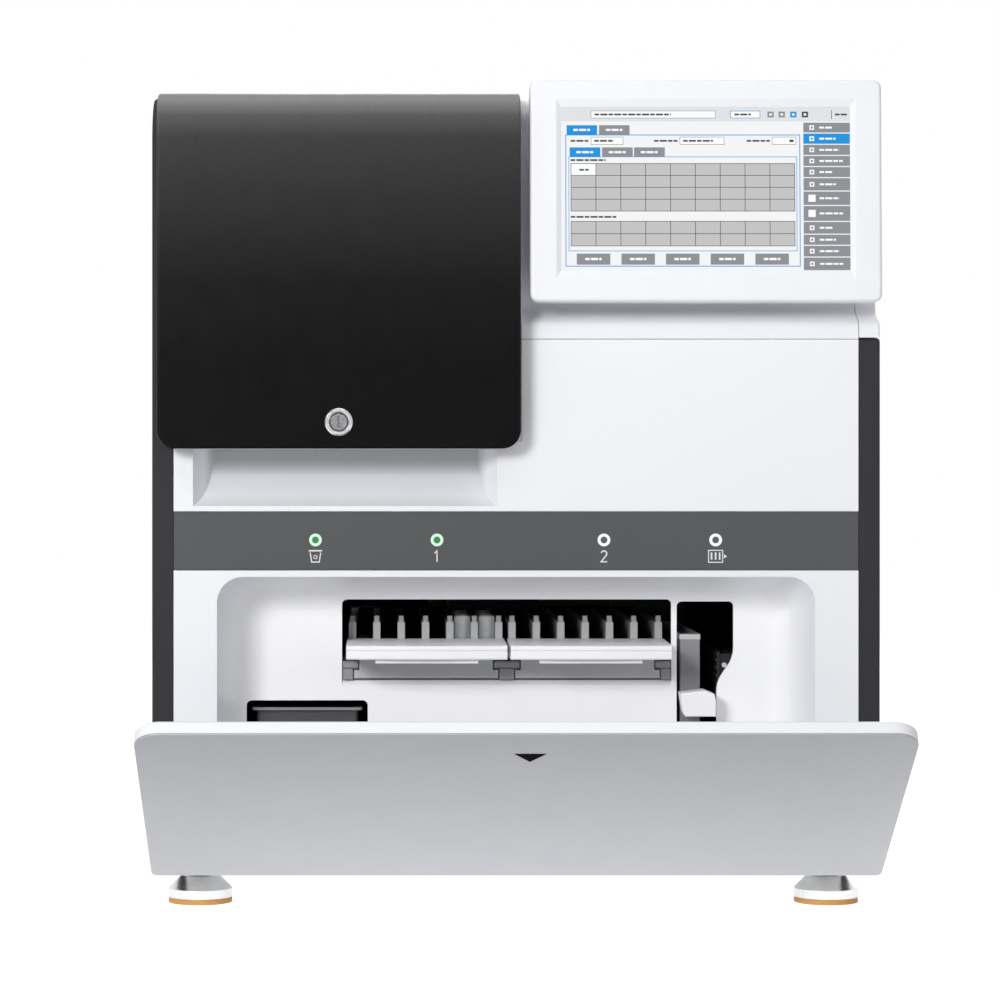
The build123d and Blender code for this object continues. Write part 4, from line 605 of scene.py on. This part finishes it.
def digit_two(marks, x, middle):
    half = 4.2 * MM
    radius = 2.2 * MM
    arc_parts = 8
    arc_start = math.radians(165)
    arc_end = math.radians(-35)
    points = []
    for part in range(arc_parts + 1):
        turn = arc_start + (arc_end - arc_start) * part / arc_parts
        points.append((x + radius * math.cos(turn), middle + half - radius + radius * math.sin(turn)))
    points.append((x - radius, middle - half))
    points.append((x + radius + 0.4 * MM, middle - half))
    marks.line(points, sign_line)


def rack_sign(marks, x, middle):
    """Three tubes in a rack, with an arrow head beside it."""
    half = 5.4 * MM
    low = middle - 4.6 * MM
    high = middle + 4.6 * MM
    tube_step = 3.1 * MM
    box = [(x - half, low), (x + half, low), (x + half, high), (x - half, high)]
    marks.line(box, 0.8 * MM, closed=True)
    for step in (-1, 0, 1):
        tube = x + step * tube_step
        marks.line([(tube, low + 2.0 * MM), (tube, high - 1.6 * MM)], 1.3 * MM)
    flag_x = x + half + 1.0 * MM
    tip = flag_x + 2.4 * MM
    marks.plate([(flag_x, middle - 1.7 * MM), (tip, middle), (flag_x, middle + 1.7 * MM)])


def add_strip_marks():
    """White signs under the four rings: bin, first and second drawer, and rack."""
    face = Face("indicator_strip", (0, -1, 0), (0, 0, 0))
    marks = Marks(face)
    sign_drop = 12.6 * MM
    ring_low, ring_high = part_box("indicator_rings")
    middle = (ring_low[2] + ring_high[2]) / 2 - sign_drop
    for draw, x in zip((bin_sign, digit_one, digit_two, rack_sign), ring_places()):
        draw(marks, x, middle)
    marks.make("strip_signs", "print_white", "root", "white_cover")


# Mark on the door

def add_door_mark():
    """Black arrow head near the free edge of the door's outer face, pointing to the hinge."""
    hinge = next(j for j in frame["record"]["behaviour"]["joints"] if j["name"] == "front_door")
    face = Face("door_skin", (0, -0.55, -0.83), hinge["pos_m"])
    mark_left = -8.5 * MM
    mark_right = 15.2 * MM
    mark_top = 197.0 * MM
    mark_tip = 184.6 * MM
    marks = Marks(face)
    marks.plate([((mark_left + mark_right) / 2, mark_tip), (mark_right, mark_top), (mark_left, mark_top)])
    marks.make("door_arrow", "print_black", "door", "dark_plastic")


# Lock and screw

def add_key_slot():
    """Dark key slot and a fine dark ring on the lock's plug."""
    low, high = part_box("lock_ring")
    middle_x = (low[0] + high[0]) / 2
    middle_z = (low[2] + high[2]) / 2
    half_wide = 0.6 * MM
    half_tall = 3.6 * MM
    marks = Marks(Face("lock_cylinder", (0, -1, 0), (0, 0, 0)))
    marks.rectangle(middle_x - half_wide, middle_z - half_tall, middle_x + half_wide, middle_z + half_tall)
    marks.ring(middle_x, middle_z, 5.6 * MM, 0.5 * MM, 32)
    marks.make("key_slot", "print_black", "lock", "dark_plastic")


def add_screw():
    """Low round screw head with a socket on the reader's front face."""
    low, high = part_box("barcode_reader")
    from_side = 3.0 * MM
    from_top = 8.6 * MM
    x = low[0] + from_side
    z = high[2] - from_top
    profile = [(0.0, 0.3), (0.95, 0.3), (0.95, 1.25), (1.5, 1.3), (2.1, 0.9), (2.3, 0.0)]
    parts = 24
    shape = bmesh.new()
    rings = []
    for radius, rise in profile:
        if radius == 0:
            rings.append([shape.verts.new((x, low[1] - rise * MM, z))])
            continue
        ring = []
        for part in range(parts):
            turn = math.tau * part / parts
            place = (x + radius * MM * math.cos(turn), low[1] - rise * MM, z + radius * MM * math.sin(turn))
            ring.append(shape.verts.new(place))
        rings.append(ring)
    for part in range(parts):
        after = (part + 1) % parts
        shape.faces.new((rings[0][0], rings[1][part], rings[1][after]))
        for inner, outer in zip(rings[1:], rings[2:]):
            shape.faces.new((inner[part], outer[part], outer[after], inner[after]))
    shape.faces.new(rings[-1])
    bmesh.ops.recalc_face_normals(shape, faces=shape.faces)
    add_piece("reader_screw", shape, "steel", "root")


# Screen

class Screen:
    """Flat tiles on the display's glass, one mesh for each colour, in units of the picture on it."""

    wide = 1370
    tall = 777
    layer = 0.05 * MM

    def __init__(self):
        self.face = Face("display_screen", (0, -1, 0), None)
        self.colours = {}

    def tile(self, colour, left, top, right, bottom, layer=1):
        """Flat tile, given as the picture's sides are counted from its top left corner."""
        scale_x = (self.face.right - self.face.left) / self.wide
        scale_y = self.face.tall / self.tall
        marks = self.colours.setdefault(colour, Marks(self.face))
        marks.rectangle(
            self.face.left + left * scale_x,
            self.face.tall - bottom * scale_y,
            self.face.left + right * scale_x,
            self.face.tall - top * scale_y,
            layer * self.layer,
        )

    def framed(self, edge, fill, left, top, right, bottom, layer=1, width=3):
        """Filled box with an outline."""
        self.tile(edge, left, top, right, bottom, layer)
        self.tile(fill, left + width, top + width, right - width, bottom - width, layer + 1)

    def words(self, colour, left, right, middle, layer, height=9):
        """Row of short bars where the picture has a word."""
        bar = 22
        gap = 5
        while left < right:
            self.tile(colour, left, middle - height / 2, min(left + bar, right), middle + height / 2, layer)
            left += bar + gap
            bar = 34 if bar == 22 else 22

    def make(self):
        for colour, marks in self.colours.items():
            marks.make(colour.replace("tile", "screen"), colour, "display", "screen")


def screen_header(screen):
    """Pale bar along the top, with its boxes and small signs."""
    screen.tile("tile_header", 0, 0, 1370, 67)
    screen.framed("tile_frame", "tile_white", 140, 16, 732, 52, 2, 2)
    screen.words("tile_frame", 158, 520, 34, 4)
    screen.framed("tile_blue", "tile_white", 802, 16, 945, 52, 2)
    screen.words("tile_frame", 822, 900, 34, 4)
    for left, colour in ((979, "tile_grey"), (1032, "tile_grey"), (1087, "tile_blue"), (1142, "tile_frame")):
        screen.tile(colour, left, 20, left + 30, 48, 2)
        screen.tile("tile_white", left + 9, 29, left + 21, 39, 3)
    screen.tile("tile_frame", 1282, 12, 1285, 56, 2)
    screen.words("tile_frame", 1300, 1356, 34, 2)


def screen_sidebar(screen):
    """Column of buttons on the right, the second one chosen."""
    left = 1149
    row_tops = (73, 125, 179, 232, 285, 338, 402, 471, 547, 608, 661, 717)
    chosen = 1
    tall_rows = (6, 7)
    for index, top in enumerate(row_tops):
        bottom = row_tops[index + 1] - 5 if index + 1 < len(row_tops) else 777
        colour = "tile_blue" if index == chosen else "tile_grey"
        screen.tile(colour, left, top, 1370, bottom, 2)
        middle = (top + bottom) / 2
        half = 17 if index in tall_rows else 11
        screen.tile("tile_white", left + 40 - half, middle - half, left + 40 + half, middle + half, 3)
        if index not in tall_rows:
            screen.tile(colour, left + 35, middle - 5, left + 45, middle + 5, 4)
        screen.words("tile_white", left + 76, left + 76 + 60 + 17 * (index % 4), middle, 3)


def screen_tabs(screen, lefts, wide, top, bottom, layer):
    """Row of tabs, the first one chosen."""
    for index, left in enumerate(lefts):
        screen.tile("tile_grey" if index else "tile_blue", left, top, left + wide, bottom, layer)
        screen.words("tile_white", left + 32, left + wide - 34, (top + bottom) / 2, layer + 1, 10)


def screen_grid(screen, top, bottom, rows):
    """Table of cells, the first cell white."""
    columns = 9
    left, right = 44, 1109
    gap = 3
    screen.tile("tile_frame", left, top, right, bottom, 5)
    cell_wide = (right - left - gap) / columns
    cell_tall = (bottom - top - gap) / rows
    for row in range(rows):
        for column in range(columns):
            x = left + gap + column * cell_wide
            y = top + gap + row * cell_tall
            corner = row == 0 and column == 0
            colour = "tile_white" if corner and rows > 2 else "tile_cell"
            screen.tile(colour, x, y, x + cell_wide - gap, y + cell_tall - gap, 6)
            if corner and rows > 2:
                screen.words("tile_frame", x + 38, x + 82, y + cell_tall / 2, 7)


def screen_panel(screen):
    """Outlined panel with its input row, tables and buttons."""
    screen.framed("tile_blue", "tile_paper", 19, 130, 1134, 760, 1, 4)
    screen.words("tile_frame", 44, 128, 160, 3)
    screen.words("tile_frame", 440, 552, 160, 3)
    screen.words("tile_frame", 880, 990, 160, 3)
    for left, right in ((140, 294), (562, 774), (1000, 1115)):
        screen.framed("tile_frame", "tile_white", left, 141, right, 178, 3, 2)
    screen.words("tile_frame", 156, 250, 160, 5)
    screen.words("tile_frame", 578, 720, 160, 5)
    screen.tile("tile_frame", 1083, 154, 1103, 166, 5)
    screen_tabs(screen, (39, 193, 345), 146, 191, 237, 3)
    screen.framed("tile_blue", "tile_paper", 34, 235, 1119, 687, 3, 3)
    screen.words("tile_frame", 44, 210, 252, 5)
    screen_grid(screen, 267, 497, 4)
    screen.words("tile_frame", 44, 260, 523, 5)
    screen_grid(screen, 543, 663, 2)
    for left in (72, 284, 495, 707, 919):
        screen.tile("tile_grey", left, 698, left + 159, 751, 4)
        screen.words("tile_white", left + 40, left + 118, 724, 5, 11)


def add_screen_picture():
    screen = Screen()
    screen_header(screen)
    screen_sidebar(screen)
    screen_tabs(screen, (25, 179), 145, 85, 130, 2)
    screen_panel(screen)
    screen.make()


add_camera()
add_lights()
add_world()
add_floor()
dress_nodes()
add_strip_marks()
add_door_mark()
add_key_slot()
add_screw()
add_screen_picture()

scene = bpy.context.scene
scene.view_settings.view_transform = "Standard"
